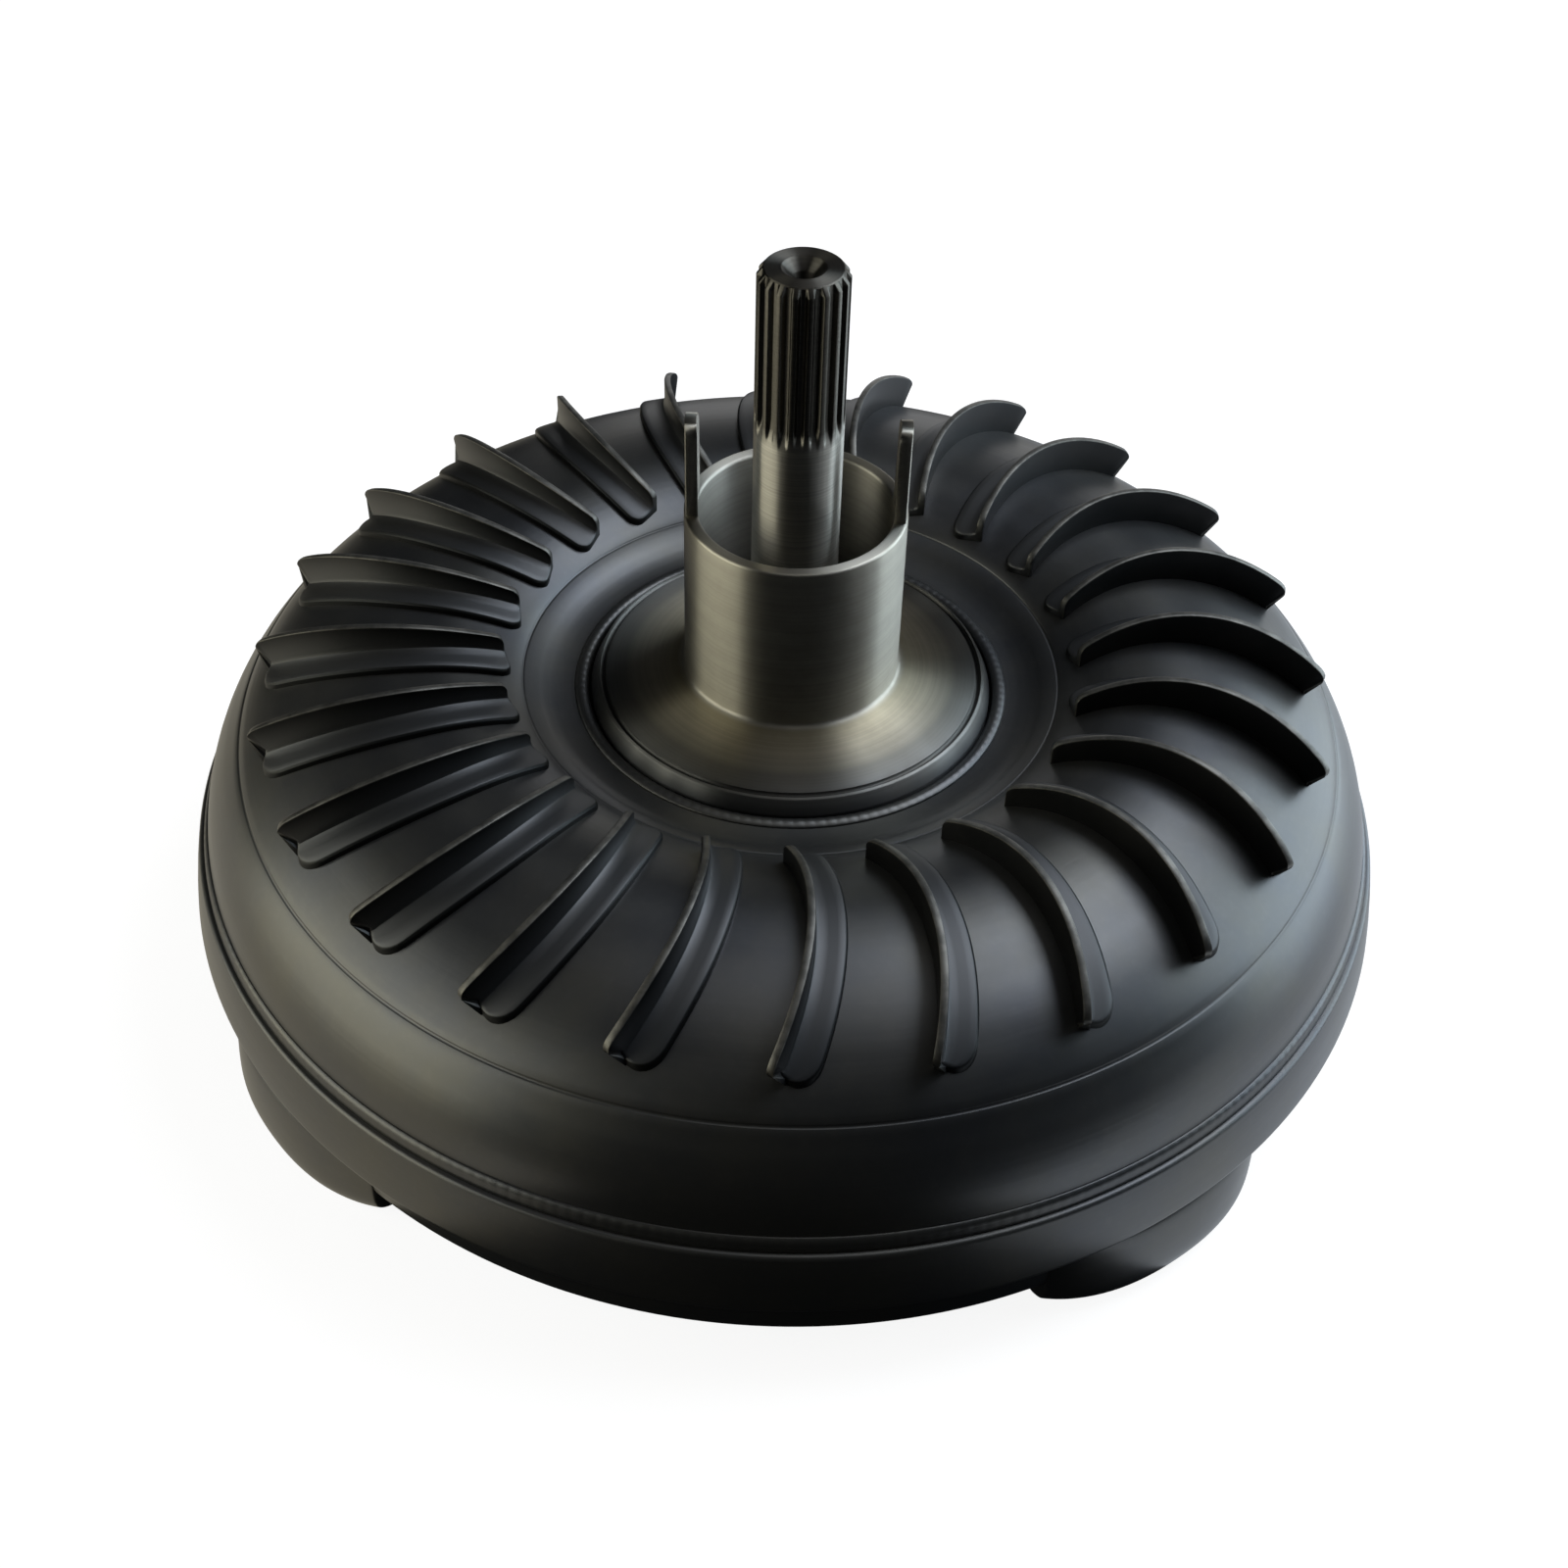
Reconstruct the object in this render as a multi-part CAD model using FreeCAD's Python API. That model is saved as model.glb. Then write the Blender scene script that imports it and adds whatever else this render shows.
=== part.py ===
import FreeCAD, Part
import math
import os
from FreeCAD import Vector

# Torque converter with a bladed, air-cooled pump shell.  Millimetres, +Z along
# the axis towards the gearbox.  The origin is on the axis, in the plane of the
# four drive lugs that the converter stands on.

# --- pump shell: section of the pressed dome, outer face ---
CREST_R, CREST_Z = 99.0, 91.5        # highest ring of the dome
RISE_ANGLE, RISE_RADIUS = 27.0, 52.9     # inner flank, from the valley to the crest
FALL_ANGLE, FALL_RADIUS = 33.5, 72.5     # outer flank, under the fins
SHOULDER_RADIUS = 43.8               # from the outer flank to the upright skirt
SHELL_WALL = 5.0
VALLEY_R, VALLEY_Z = 63.0, 79.6      # foot of the inner flank, beside the hub flange
SKIRT_LOW_Z = 27.0
TURNED_LINE_R = 147.0                # fine turned line outside the fins
STEP_LINE_R = 71.5                   # fine turned line inside the fins
LINE_GROOVE = 0.4                    # section radius of both lines

# --- cooling fins: folded L strips welded to the dome ---
FIN_COUNT = 24
FIN_PHASE = -89.7                    # azimuth of the first fin's outer end
FIN_SWING = 0.9                      # degrees the fins gather towards -X, as set by hand
FIN_INNER_R, FIN_MID_R, FIN_OUTER_R = 76.6, 108.0, 142.3
FIN_INNER_TURN, FIN_MID_TURN = 0.9, 4.1  # degrees ahead of the outer end
FIN_WEB = 2.0
FIN_FOOT_WIDTH, FIN_FOOT_THICKNESS = 7.6, 2.0
FIN_FOOT_ROUND, FIN_FOOT_OUTER_ROUND = 3.2, 6.0
FIN_FOOT_OUTER_R = 139.0             # the web's end leans out over this
FIN_TOP_INNER_Z, FIN_TOP_MID_Z, FIN_TOP_OUTER_Z = 93.6, 100.4, 88.8
FIN_CORNER = 2.0

# --- pump drive hub: flange, tube and two drive tangs ---
TUBE_R, TUBE_BORE_R = 28.4, 24.9
TUBE_TOP_Z = 136.5
HUB_FLANGE_R, HUB_UNDERSIDE_Z = 56.4, 74.6
HUB_FACE_Z = 87.8                    # coned face at the foot of the tube
HUB_RIM_R, HUB_RIM_Z = 51.8, 83.6    # edge of the coned face
HUB_STEP_R, HUB_STEP_Z = 53.5, 79.8  # foot of the bevel below the rim
HUB_SEAT_Z = 77.2                    # low ledge that the weld fills
HUB_FILLET = 1.2
HUB_GROOVE_R, GROOVE_RADIUS = 50.2, 0.8
JOINT_GAP = 0.7                      # dark line between the bevel and the weld
TANG_TOP_Z, TANG_WIDTH, TANG_CORNER = 162.0, 11.0, 3.0

# --- front cover with its outer band, and what is fixed to it ---
BAND_R, BAND_TOP_R = 164.2, 161.4    # the band narrows upwards to the weld
BAND_LOW_Z, BAND_TOP_Z = 25.0, 43.2
COVER_WALL_R, COVER_BORE_R = 158.0, 152.5
COVER_LOW_Z, COVER_FLOOR_Z = 8.0, 13.0
COVER_CORNER = 5.0
WELD_TOP_Z, WELD_R = 47.6, 162.0
LUG_COUNT, LUG_PHASE = 4, 38.0
LUG_REACH_R, LUG_INNER_R, LUG_HALF_ANGLE = 165.6, 122.0, 13.0
LUG_TOP_Z = 25.9
LUG_HOLE_PCD_R, LUG_HOLE_R = 145.0, 4.25
PILOT_R, PILOT_STEM_R, PILOT_LOW_Z = 22.0, 14.0, 0.5

# --- fluid circuit ---
MID_Z, MID_GAP = 52.0, 2.0           # plane between pump and turbine
CORE_R, CORE_SECTION_R, CORE_WALL = 107.0, 15.0, 1.5
BLADE_INNER_R = 64.5
INLET_Z, EXIT_Z = 67.5, 43.0         # blade edges that face the stator
PUMP_BLADES, PUMP_BLADE_WALL = 31, 1.2
TURBINE_BLADES, TURBINE_BLADE_WALL = 29, 1.0
TURBINE_RIM_R, TURBINE_LOW_R, TURBINE_LOW_Z = 148.5, 103.0, 21.5
TURBINE_RIM_ANGLE, TURBINE_INNER_ANGLE = 35.0, 36.0
TURBINE_WALL = 2.5
TURBINE_FLANGE_R, TURBINE_FLANGE_BORE_R = 60.0, 42.0

# --- turbine shaft and hub ---
SHAFT_R, SHAFT_TOP_Z, SHAFT_LOW_Z = 11.2, 204.5, 17.4
SPLINE_TEETH, SPLINE_DEPTH = 18, 1.3
SPLINE_TOP_Z, SPLINE_LOW_Z = 202.6, 163.0
HUB_SPLINE_TOP_Z = 36.0
CENTRE_HOLE_R, CENTRE_HOLE_DEPTH = 2.8, 12.0
SPLINE_CLEARANCE = 0.05
THUB_R, THUB_LOW_Z, THUB_TOP_Z = 20.0, 16.1, 36.0
THUB_FLANGE_WALL = 4.0
RIVETS, RIVET_R, RIVET_PCD_R, RIVET_HEAD = 12, 2.5, 50.0, 1.6

# --- stator with its one-way clutch ---
STATOR_LOW_Z, STATOR_TOP_Z = 42.95, 67.65
STATOR_BORE_R, STATOR_HUB_R = 46.0, 64.0
STATOR_RING_R, STATOR_RING_WALL = 90.5, 2.0
STATOR_BLADES = 17
STATOR_LIP_R = 52.0
RACE_OUT_R, RACE_IN_R, RACE_BORE_R = 36.0, 28.0, 20.8
RACE_SPLINE_TEETH = 26
ROLLERS, ROLLER_R, ROLLER_LENGTH = 12, 3.94, 20.0
END_PLATE = 2.5
SNAP_WALL = 1.6
RUN = 0.1                            # running clearance in the clutch

# --- thrust bearings ---
NEEDLE_COUNT, NEEDLE_R, RACE_WALL = 24, 1.0, 1.2
BEARING_IN_R, BEARING_OUT_R = 30.0, 43.0
FACE_GAP = 0.05
COVER_WASHER = 3.0

AXIS = Vector(0, 0, 1)
ORIGIN = Vector(0, 0, 0)


def polar(radius, azimuth, z=0.0):
    angle = math.radians(azimuth)
    return Vector(radius * math.cos(angle), radius * math.sin(angle), z)


def turned(outline):
    """Solid of revolution from (r, z) corners; a (via, end) pair is an arc."""
    edges = []
    here = outline[0]
    for step in outline[1:] + [outline[0]]:
        start = Vector(here[0], 0, here[1])
        if isinstance(step[0], tuple):
            via, end = step
            arc = Part.Arc(start, Vector(via[0], 0, via[1]), Vector(end[0], 0, end[1]))
            edges.append(arc.toShape())
        else:
            end = step
            edges.append(Part.LineSegment(start, Vector(end[0], 0, end[1])).toShape())
        here = end
    return Part.Face(Part.Wire(edges)).revolve(ORIGIN, AXIS, 360)


def ring(inner_r, outer_r, low_z, high_z):
    outer = Part.makeCylinder(outer_r, high_z - low_z, Vector(0, 0, low_z))
    if inner_r <= 0:
        return outer
    return outer.cut(Part.makeCylinder(inner_r, high_z - low_z, Vector(0, 0, low_z)))


def turned_about(shape, azimuth):
    copy = shape.copy()
    copy.rotate(ORIGIN, AXIS, azimuth)
    return copy


def round_the_axis(shape, count, phase=0.0):
    return [turned_about(shape, phase + 360.0 * i / count) for i in range(count)]


def section_point(centre, radius, angle):
    """Point on a section arc, its angle measured from +Z towards +r."""
    a = math.radians(angle)
    return (centre[0] + radius * math.sin(a), centre[1] + radius * math.cos(a))


def section_arc(centre, radius, start, end):
    return (section_point(centre, radius, (start + end) / 2), section_point(centre, radius, end))


# ---------------------------------------------------------------- pump dome

RISE_CENTRE = (CREST_R, CREST_Z - RISE_RADIUS)
FALL_CENTRE = (CREST_R, CREST_Z - FALL_RADIUS)
SHOULDER_CENTRE = section_point(FALL_CENTRE, FALL_RADIUS - SHOULDER_RADIUS, FALL_ANGLE)
SKIRT_R = SHOULDER_CENTRE[0] + SHOULDER_RADIUS


def dome_steps(offset):
    """Outline steps of the dome from the inner flank to the skirt, moved out by offset."""
    return [section_point(RISE_CENTRE, RISE_RADIUS + offset, -RISE_ANGLE),
            section_arc(RISE_CENTRE, RISE_RADIUS + offset, -RISE_ANGLE, 0),
            section_arc(FALL_CENTRE, FALL_RADIUS + offset, 0, FALL_ANGLE),
            section_arc(SHOULDER_CENTRE, SHOULDER_RADIUS + offset, FALL_ANGLE, 90)]


def valley_point(offset):
    """Foot of the straight inner flank, moved square to the flank by offset."""
    slope = math.radians(RISE_ANGLE)
    return (VALLEY_R, VALLEY_Z + offset / math.cos(slope))


def under_dome(offset):
    """Everything below the dome's face: the tool that fins and blades are cut with."""
    floor = SKIRT_LOW_Z
    return turned([(VALLEY_R, floor), valley_point(offset)] + dome_steps(offset)
                  + [(SKIRT_R + offset, floor)])


def dome_z(radius):
    """Height of the dome's outer face on its outer flank and shoulder."""
    centre, size = FALL_CENTRE, FALL_RADIUS
    if radius > section_point(FALL_CENTRE, FALL_RADIUS, FALL_ANGLE)[0]:
        centre, size = SHOULDER_CENTRE, SHOULDER_RADIUS
    return centre[1] + math.sqrt(size ** 2 - (radius - centre[0]) ** 2)


def impeller_shell():
    inner_edge_r = HUB_FLANGE_R
    inside = dome_steps(-SHELL_WALL)
    back = [inside[3][1], (inside[3][0], inside[2][1]), (inside[2][0], inside[1][1]),
            (inside[1][0], inside[0])]
    shell = turned([(inner_edge_r, VALLEY_Z), (VALLEY_R, VALLEY_Z)] + dome_steps(0)
                   + [(SKIRT_R, SKIRT_LOW_Z), (SKIRT_R - SHELL_WALL, SKIRT_LOW_Z)]
                   + back + [valley_point(-SHELL_WALL), (inner_edge_r, HUB_UNDERSIDE_Z)])
    line = Part.makeTorus(TURNED_LINE_R, LINE_GROOVE, Vector(0, 0, dome_z(TURNED_LINE_R)))
    flank = math.tan(math.radians(RISE_ANGLE))
    step_z = VALLEY_Z + (STEP_LINE_R - VALLEY_R) * flank
    step = Part.makeTorus(STEP_LINE_R, LINE_GROOVE, Vector(0, 0, step_z))
    return shell.cut(line).cut(step)


# ---------------------------------------------------------------- fins

def plan_strip(inner, middle, outer, low_offset, high_offset, low_z, high_z):
    """Upright strip along the plan arc through three points, between two offsets of it."""
    circle = Part.Arc(inner, middle, outer).toShape().Curve
    centre, radius = circle.Center, circle.Radius

    def moved(point, offset):
        return centre + (point - centre) * ((radius + offset) / radius)

    near = Part.Arc(*[moved(p, low_offset) for p in (inner, middle, outer)]).toShape()
    far = Part.Arc(*[moved(p, high_offset) for p in (inner, middle, outer)]).toShape()
    ends = [Part.LineSegment(moved(p, low_offset), moved(p, high_offset)).toShape()
            for p in (inner, outer)]
    face = Part.Face(Part.Wire(Part.__sortEdges__([near, ends[1], far, ends[0]])))
    strip = face.extrude(Vector(0, 0, high_z - low_z))
    strip.translate(Vector(0, 0, low_z))
    corners = [moved(inner, high_offset), moved(outer, high_offset)]
    return strip, corners


def upright_edges(solid, corners):
    """Vertical edges of a solid that stand over the given plan points."""
    found = []
    for edge in solid.Edges:
        a, b = edge.Vertexes[0].Point, edge.Vertexes[-1].Point
        if abs(a.z - b.z) < 1:
            continue
        if any(math.hypot(a.x - c.x, a.y - c.y) < 0.05 for c in corners):
            found.append(edge)
    return found


def fin_top_body():
    """Round body whose upper face is the top edge of every fin, corners rounded."""
    low = 70.0
    inner, outer = FIN_INNER_R - 0.4, FIN_OUTER_R
    base_z = dome_z(FIN_FOOT_OUTER_R)
    knee = 0.3 * FIN_CORNER
    return turned([(inner, low), (inner, FIN_TOP_INNER_Z - FIN_CORNER),
                   ((inner + knee, FIN_TOP_INNER_Z - knee), (inner + FIN_CORNER, FIN_TOP_INNER_Z)),
                   ((FIN_MID_R, FIN_TOP_MID_Z), (outer - FIN_CORNER, FIN_TOP_OUTER_Z + knee)),
                   ((outer - knee, FIN_TOP_OUTER_Z - knee), (outer, FIN_TOP_OUTER_Z - FIN_CORNER)),
                   (FIN_FOOT_OUTER_R, base_z), (FIN_FOOT_OUTER_R, low)])


def foot_end(path):
    """Point of the fin's plan arc at the outer end of its foot."""
    circle = Part.Arc(*path).toShape().Curve
    reach, radius = circle.Center.Length, FIN_FOOT_OUTER_R
    opening = math.acos((reach ** 2 + radius ** 2 - circle.Radius ** 2) / (2 * reach * radius))
    towards = math.atan2(circle.Center.y, circle.Center.x)
    return polar(radius, math.degrees(towards + opening))


def cooling_fins():
    low, high = 70.0, 110.0
    path = (polar(FIN_INNER_R, FIN_INNER_TURN), polar(FIN_MID_R, FIN_MID_TURN),
            polar(FIN_OUTER_R, 0.0))
    half = FIN_WEB / 2
    web, _ = plan_strip(*path, -half, half, low, high)
    foot, corners = plan_strip(*path[:2], foot_end(path), -half, half + FIN_FOOT_WIDTH, low, high)
    foot = foot.makeFillet(FIN_FOOT_ROUND, upright_edges(foot, corners[:1]))
    foot = foot.makeFillet(FIN_FOOT_OUTER_ROUND, upright_edges(foot, corners[1:]))
    web = web.common(fin_top_body())
    foot = foot.common(under_dome(FIN_FOOT_THICKNESS))
    fin = web.fuse(foot).cut(under_dome(0)).removeSplitter()
    fins = []
    for i in range(FIN_COUNT):
        azimuth = FIN_PHASE + 360.0 * i / FIN_COUNT
        fins.append(turned_about(fin, azimuth + FIN_SWING * math.sin(math.radians(azimuth))))
    return fins


# ---------------------------------------------------------------- pump hub

def drive_tang(azimuth):
    """One tang: a strip of the tube's own wall left standing above its rim."""
    half, top, c = TANG_WIDTH / 2, TANG_TOP_Z, TANG_CORNER
    low = TUBE_TOP_Z - 5
    face = Part.Face(Part.makePolygon([
        Vector(0, -half, low), Vector(0, half, low), Vector(0, half - 0.8, top - c),
        Vector(0, half - 0.8 - c, top), Vector(0, c + 0.8 - half, top),
        Vector(0, 0.8 - half, top - c), Vector(0, -half, low)]))
    blank = face.extrude(Vector(TUBE_R + 5, 0, 0))
    return turned_about(blank.common(ring(TUBE_BORE_R + 0.3, TUBE_R - 0.3, low, top)), azimuth)


def pump_drive_hub():
    f = HUB_FILLET
    q = f * (1 - math.sqrt(0.5))
    hub = turned([
        (TUBE_BORE_R, HUB_UNDERSIDE_Z), (HUB_FLANGE_R, HUB_UNDERSIDE_Z),
        (HUB_FLANGE_R, HUB_SEAT_Z), (HUB_STEP_R, HUB_SEAT_Z), (HUB_STEP_R, HUB_STEP_Z),
        (HUB_RIM_R, HUB_RIM_Z), (TUBE_R + f, HUB_FACE_Z),
        ((TUBE_R + q, HUB_FACE_Z + q), (TUBE_R, HUB_FACE_Z + f)),
        (TUBE_R, TUBE_TOP_Z - 1.2), (TUBE_R - 1.0, TUBE_TOP_Z),
        (TUBE_BORE_R + 1.0, TUBE_TOP_Z), (TUBE_BORE_R, TUBE_TOP_Z - 1.8)])
    fall = (HUB_FACE_Z - HUB_RIM_Z) / (HUB_RIM_R - TUBE_R - f)
    groove_z = HUB_RIM_Z + fall * (HUB_RIM_R - HUB_GROOVE_R)
    hub = hub.cut(Part.makeTorus(HUB_GROOVE_R, GROOVE_RADIUS, Vector(0, 0, groove_z)))
    for azimuth in (0, 180):
        hub = hub.fuse(drive_tang(azimuth))
    return hub.removeSplitter()


def hub_weld():
    """Bead that fills the ledge between the hub and the dome, a fine gap left at the bevel."""
    near = HUB_STEP_R + JOINT_GAP
    return turned([(near, HUB_SEAT_Z), (HUB_FLANGE_R, HUB_SEAT_Z), (HUB_FLANGE_R, VALLEY_Z),
                   (HUB_FLANGE_R + 1.8, VALLEY_Z),
                   ((HUB_FLANGE_R, VALLEY_Z + 1.1), (near + 0.5, VALLEY_Z + 0.5)),
                   (near, VALLEY_Z - 0.2)])


# ---------------------------------------------------------------- front cover

def front_cover():
    corner, knee = COVER_CORNER, COVER_CORNER * (1 - math.sqrt(0.5))
    wall, bore = COVER_WALL_R, COVER_BORE_R
    inner_corner = corner - 1
    k = inner_corner * (1 - math.sqrt(0.5))
    return turned([
        (PILOT_STEM_R, COVER_LOW_Z), (wall - corner, COVER_LOW_Z),
        ((wall - knee, COVER_LOW_Z + knee), (wall, COVER_LOW_Z + corner)),
        (wall, BAND_LOW_Z - 1.6), (BAND_R - 1.5, BAND_LOW_Z), (BAND_R, BAND_LOW_Z + 1.5),
        (BAND_TOP_R, BAND_TOP_Z - 1.5),
        ((BAND_TOP_R - 0.45, BAND_TOP_Z - 0.45), (BAND_TOP_R - 1.5, BAND_TOP_Z)),
        (SKIRT_R, BAND_TOP_Z), (SKIRT_R, SKIRT_LOW_Z), (bore, SKIRT_LOW_Z),
        (bore, COVER_FLOOR_Z + inner_corner),
        ((bore - k, COVER_FLOOR_Z + k), (bore - inner_corner, COVER_FLOOR_Z)),
        (PILOT_STEM_R, COVER_FLOOR_Z)])


def closing_weld():
    """Fillet bead between the band's top edge and the skirt of the pump shell."""
    bead = turned([(SKIRT_R - 2, BAND_TOP_Z), (BAND_TOP_R - 1.5, BAND_TOP_Z),
                   ((SKIRT_R + 1.5, BAND_TOP_Z + 2.6), (SKIRT_R - 0.2, WELD_TOP_Z)),
                   (SKIRT_R - 2, WELD_TOP_Z)])
    return bead.cut(under_dome(0))


def pilot_spigot():
    return turned([(0, PILOT_LOW_Z), (PILOT_R - 1.5, PILOT_LOW_Z), (PILOT_R, PILOT_LOW_Z + 1.5),
                   (PILOT_R, COVER_LOW_Z), (PILOT_STEM_R, COVER_LOW_Z),
                   (PILOT_STEM_R, COVER_FLOOR_Z), (0, COVER_FLOOR_Z)])


def drive_lugs():
    """Four forged pads that wrap the cover's corner, each tapped for the drive plate."""
    half, low_half = LUG_HALF_ANGLE, LUG_HALF_ANGLE - 1.5
    corner_r = COVER_WALL_R + 0.5
    edges = [Part.Arc(polar(corner_r, -half), polar(LUG_REACH_R, 0), polar(corner_r, half)),
             Part.LineSegment(polar(corner_r, half), polar(LUG_INNER_R, low_half)),
             Part.Arc(polar(LUG_INNER_R, low_half), polar(LUG_INNER_R, 0),
                      polar(LUG_INNER_R, -low_half)),
             Part.LineSegment(polar(LUG_INNER_R, -low_half), polar(corner_r, -half))]
    plan = Part.Face(Part.Wire([e.toShape() for e in edges]))
    pad = plan.extrude(Vector(0, 0, LUG_TOP_Z))
    corners = [polar(r, a) for r, a in ((corner_r, half), (corner_r, -half),
                                        (LUG_INNER_R, low_half), (LUG_INNER_R, -low_half))]
    pad = pad.makeFillet(7.0, upright_edges(pad, corners))
    form = turned([(LUG_INNER_R - 5, 0), (LUG_REACH_R - 6, 0),
                   ((LUG_REACH_R - 1.8, 1.8), (LUG_REACH_R, 6)), (LUG_REACH_R, 10),
                   (BAND_R - 0.6, LUG_TOP_Z), (LUG_INNER_R - 5, LUG_TOP_Z)])
    pad = pad.common(form)
    cover_body = front_cover().fuse(ring(0, COVER_BORE_R + 1, COVER_FLOOR_Z - 1, LUG_TOP_Z + 1))
    pad = pad.cut(cover_body)
    hole = Part.makeCylinder(LUG_HOLE_R, COVER_LOW_Z, polar(LUG_HOLE_PCD_R, 0, 0))
    return round_the_axis(pad.cut(hole), LUG_COUNT, LUG_PHASE)


# ---------------------------------------------------------------- fluid circuit

def core_ring(low_z, high_z):
    tube = Part.makeTorus(CORE_R, CORE_SECTION_R, Vector(0, 0, MID_Z))
    tube = tube.cut(Part.makeTorus(CORE_R, CORE_SECTION_R - CORE_WALL, Vector(0, 0, MID_Z)))
    return tube.common(ring(CORE_R - 20, CORE_R + 20, low_z, high_z))


def impeller_blades():
    low = MID_Z + MID_GAP / 2
    path = (polar(BLADE_INNER_R, -6), polar(CORE_R, 0), polar(SKIRT_R - SHELL_WALL - 1, 2))
    half = PUMP_BLADE_WALL / 2
    blade, _ = plan_strip(*path, -half, half, low, CREST_Z)
    blade = blade.common(under_dome(-SHELL_WALL))
    blade = blade.cut(Part.makeTorus(CORE_R, CORE_SECTION_R, Vector(0, 0, MID_Z)))
    blade = blade.cut(ring(BLADE_INNER_R - 3, CORE_R, low - 1, INLET_Z))
    return round_the_axis(blade, PUMP_BLADES)


def quarter_radii(width, height, angle):
    """Radii of two tangent arcs that turn 90 degrees over the given width and height."""
    s, c = math.sin(math.radians(angle)), math.cos(math.radians(angle))
    small = (height * s - width * (1 - c)) / (c * s - (1 - s) * (1 - c))
    large = (width - small * (1 - s)) / s
    return large, small


def turbine_steps(offset):
    """Outline of the turbine shell's fluid face, rim to flange, moved down by offset."""
    rim_z = MID_Z - MID_GAP / 2
    large, small = quarter_radii(TURBINE_RIM_R - TURBINE_LOW_R, rim_z - TURBINE_LOW_Z,
                                 TURBINE_RIM_ANGLE)
    low_centre = (TURBINE_LOW_R, TURBINE_LOW_Z + large)
    rim_centre = (TURBINE_RIM_R - small, rim_z)
    inner = (TURBINE_LOW_R - TURBINE_FLANGE_R) / math.sin(math.radians(TURBINE_INNER_ANGLE))
    inner_centre = (TURBINE_LOW_R, TURBINE_LOW_Z + inner)
    turn = 180 - TURBINE_RIM_ANGLE
    return [(TURBINE_RIM_R + offset, rim_z),
            section_arc(rim_centre, small + offset, 90, turn),
            section_arc(low_centre, large + offset, turn, 180),
            section_arc(inner_centre, inner + offset, 180, 180 + TURBINE_INNER_ANGLE)]


def turbine_flange_z():
    return turbine_steps(0)[3][1][1]


def turbine_shell():
    top, low = turbine_steps(0), turbine_steps(TURBINE_WALL)
    z = turbine_flange_z()
    bend = low[3][1]
    back = [(bend[0], z - TURBINE_WALL), bend, (low[3][0], low[2][1]), (low[2][0], low[1][1]),
            (low[1][0], low[0])]
    shell = turned(top + [(TURBINE_FLANGE_BORE_R, z), (TURBINE_FLANGE_BORE_R, z - TURBINE_WALL)]
                   + back)
    for hole in round_the_axis(rivet_shank(), RIVETS):
        shell = shell.cut(hole)
    return shell


def turbine_blades():
    high = MID_Z - MID_GAP / 2
    path = (polar(BLADE_INNER_R, -20), polar(CORE_R, -3), polar(TURBINE_RIM_R - 0.4, -8))
    half = TURBINE_BLADE_WALL / 2
    blade, _ = plan_strip(*path, -half, half, TURBINE_LOW_Z - 1, high)
    above = turned(turbine_steps(0) + [(TURBINE_FLANGE_R, high + 1), (TURBINE_RIM_R, high + 1)])
    blade = blade.common(above)
    blade = blade.cut(Part.makeTorus(CORE_R, CORE_SECTION_R, Vector(0, 0, MID_Z)))
    blade = blade.cut(ring(BLADE_INNER_R - 3, CORE_R, EXIT_Z, high + 1))
    return round_the_axis(blade, TURBINE_BLADES)


# ---------------------------------------------------------------- turbine shaft and hub

def spline_bar(teeth, outer_r, depth, low_z, high_z):
    """Bar with straight-sided teeth: crest and gap equal at half depth."""
    root = outer_r - depth
    pitch = 360.0 / teeth
    corners = []
    for i in range(teeth):
        for radius, turn in ((root, -0.34), (outer_r, -0.17), (outer_r, 0.17), (root, 0.34)):
            corners.append(polar(radius, (i + turn) * pitch, low_z))
    face = Part.Face(Part.makePolygon(corners + [corners[0]]))
    bar = face.extrude(Vector(0, 0, high_z - low_z))
    return bar.common(Part.makeCylinder(outer_r, high_z - low_z, Vector(0, 0, low_z)))


def turbine_shaft():
    root = SHAFT_R - SPLINE_DEPTH
    body = turned([(0, SHAFT_LOW_Z), (root - 1, SHAFT_LOW_Z), (root, SHAFT_LOW_Z + 1),
                   (root, HUB_SPLINE_TOP_Z), (SHAFT_R, HUB_SPLINE_TOP_Z + 1.5),
                   (SHAFT_R, SPLINE_LOW_Z), (root, SPLINE_LOW_Z + 2.5), (root, SHAFT_TOP_Z),
                   (0, SHAFT_TOP_Z)])
    upper = spline_bar(SPLINE_TEETH, SHAFT_R, SPLINE_DEPTH, SPLINE_LOW_Z - 1, SHAFT_TOP_Z)
    upper = upper.common(turned([
        (0, SPLINE_LOW_Z - 1), (SHAFT_R + 1, SPLINE_LOW_Z - 1), (SHAFT_R + 1, SPLINE_TOP_Z),
        (SHAFT_R + 1 - (SHAFT_TOP_Z - SPLINE_TOP_Z) - 0.8, SHAFT_TOP_Z), (0, SHAFT_TOP_Z)]))
    lower = spline_bar(SPLINE_TEETH, SHAFT_R, SPLINE_DEPTH, SHAFT_LOW_Z + 4, HUB_SPLINE_TOP_Z + 1)
    shaft = body.fuse(upper).fuse(lower)
    tip = CENTRE_HOLE_R * 1.9
    hole = turned([(0, SHAFT_TOP_Z - CENTRE_HOLE_DEPTH),
                   (CENTRE_HOLE_R, SHAFT_TOP_Z - CENTRE_HOLE_DEPTH + 1.5),
                   (CENTRE_HOLE_R, SHAFT_TOP_Z - (tip - CENTRE_HOLE_R)),
                   (tip, SHAFT_TOP_Z + 0.01), (0, SHAFT_TOP_Z + 0.01)])
    groove = ring(root - 1.0, SHAFT_R + 1, SHAFT_LOW_Z + 1.6, SHAFT_LOW_Z + 3.2)
    return shaft.cut(hole).cut(groove).removeSplitter()


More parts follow.
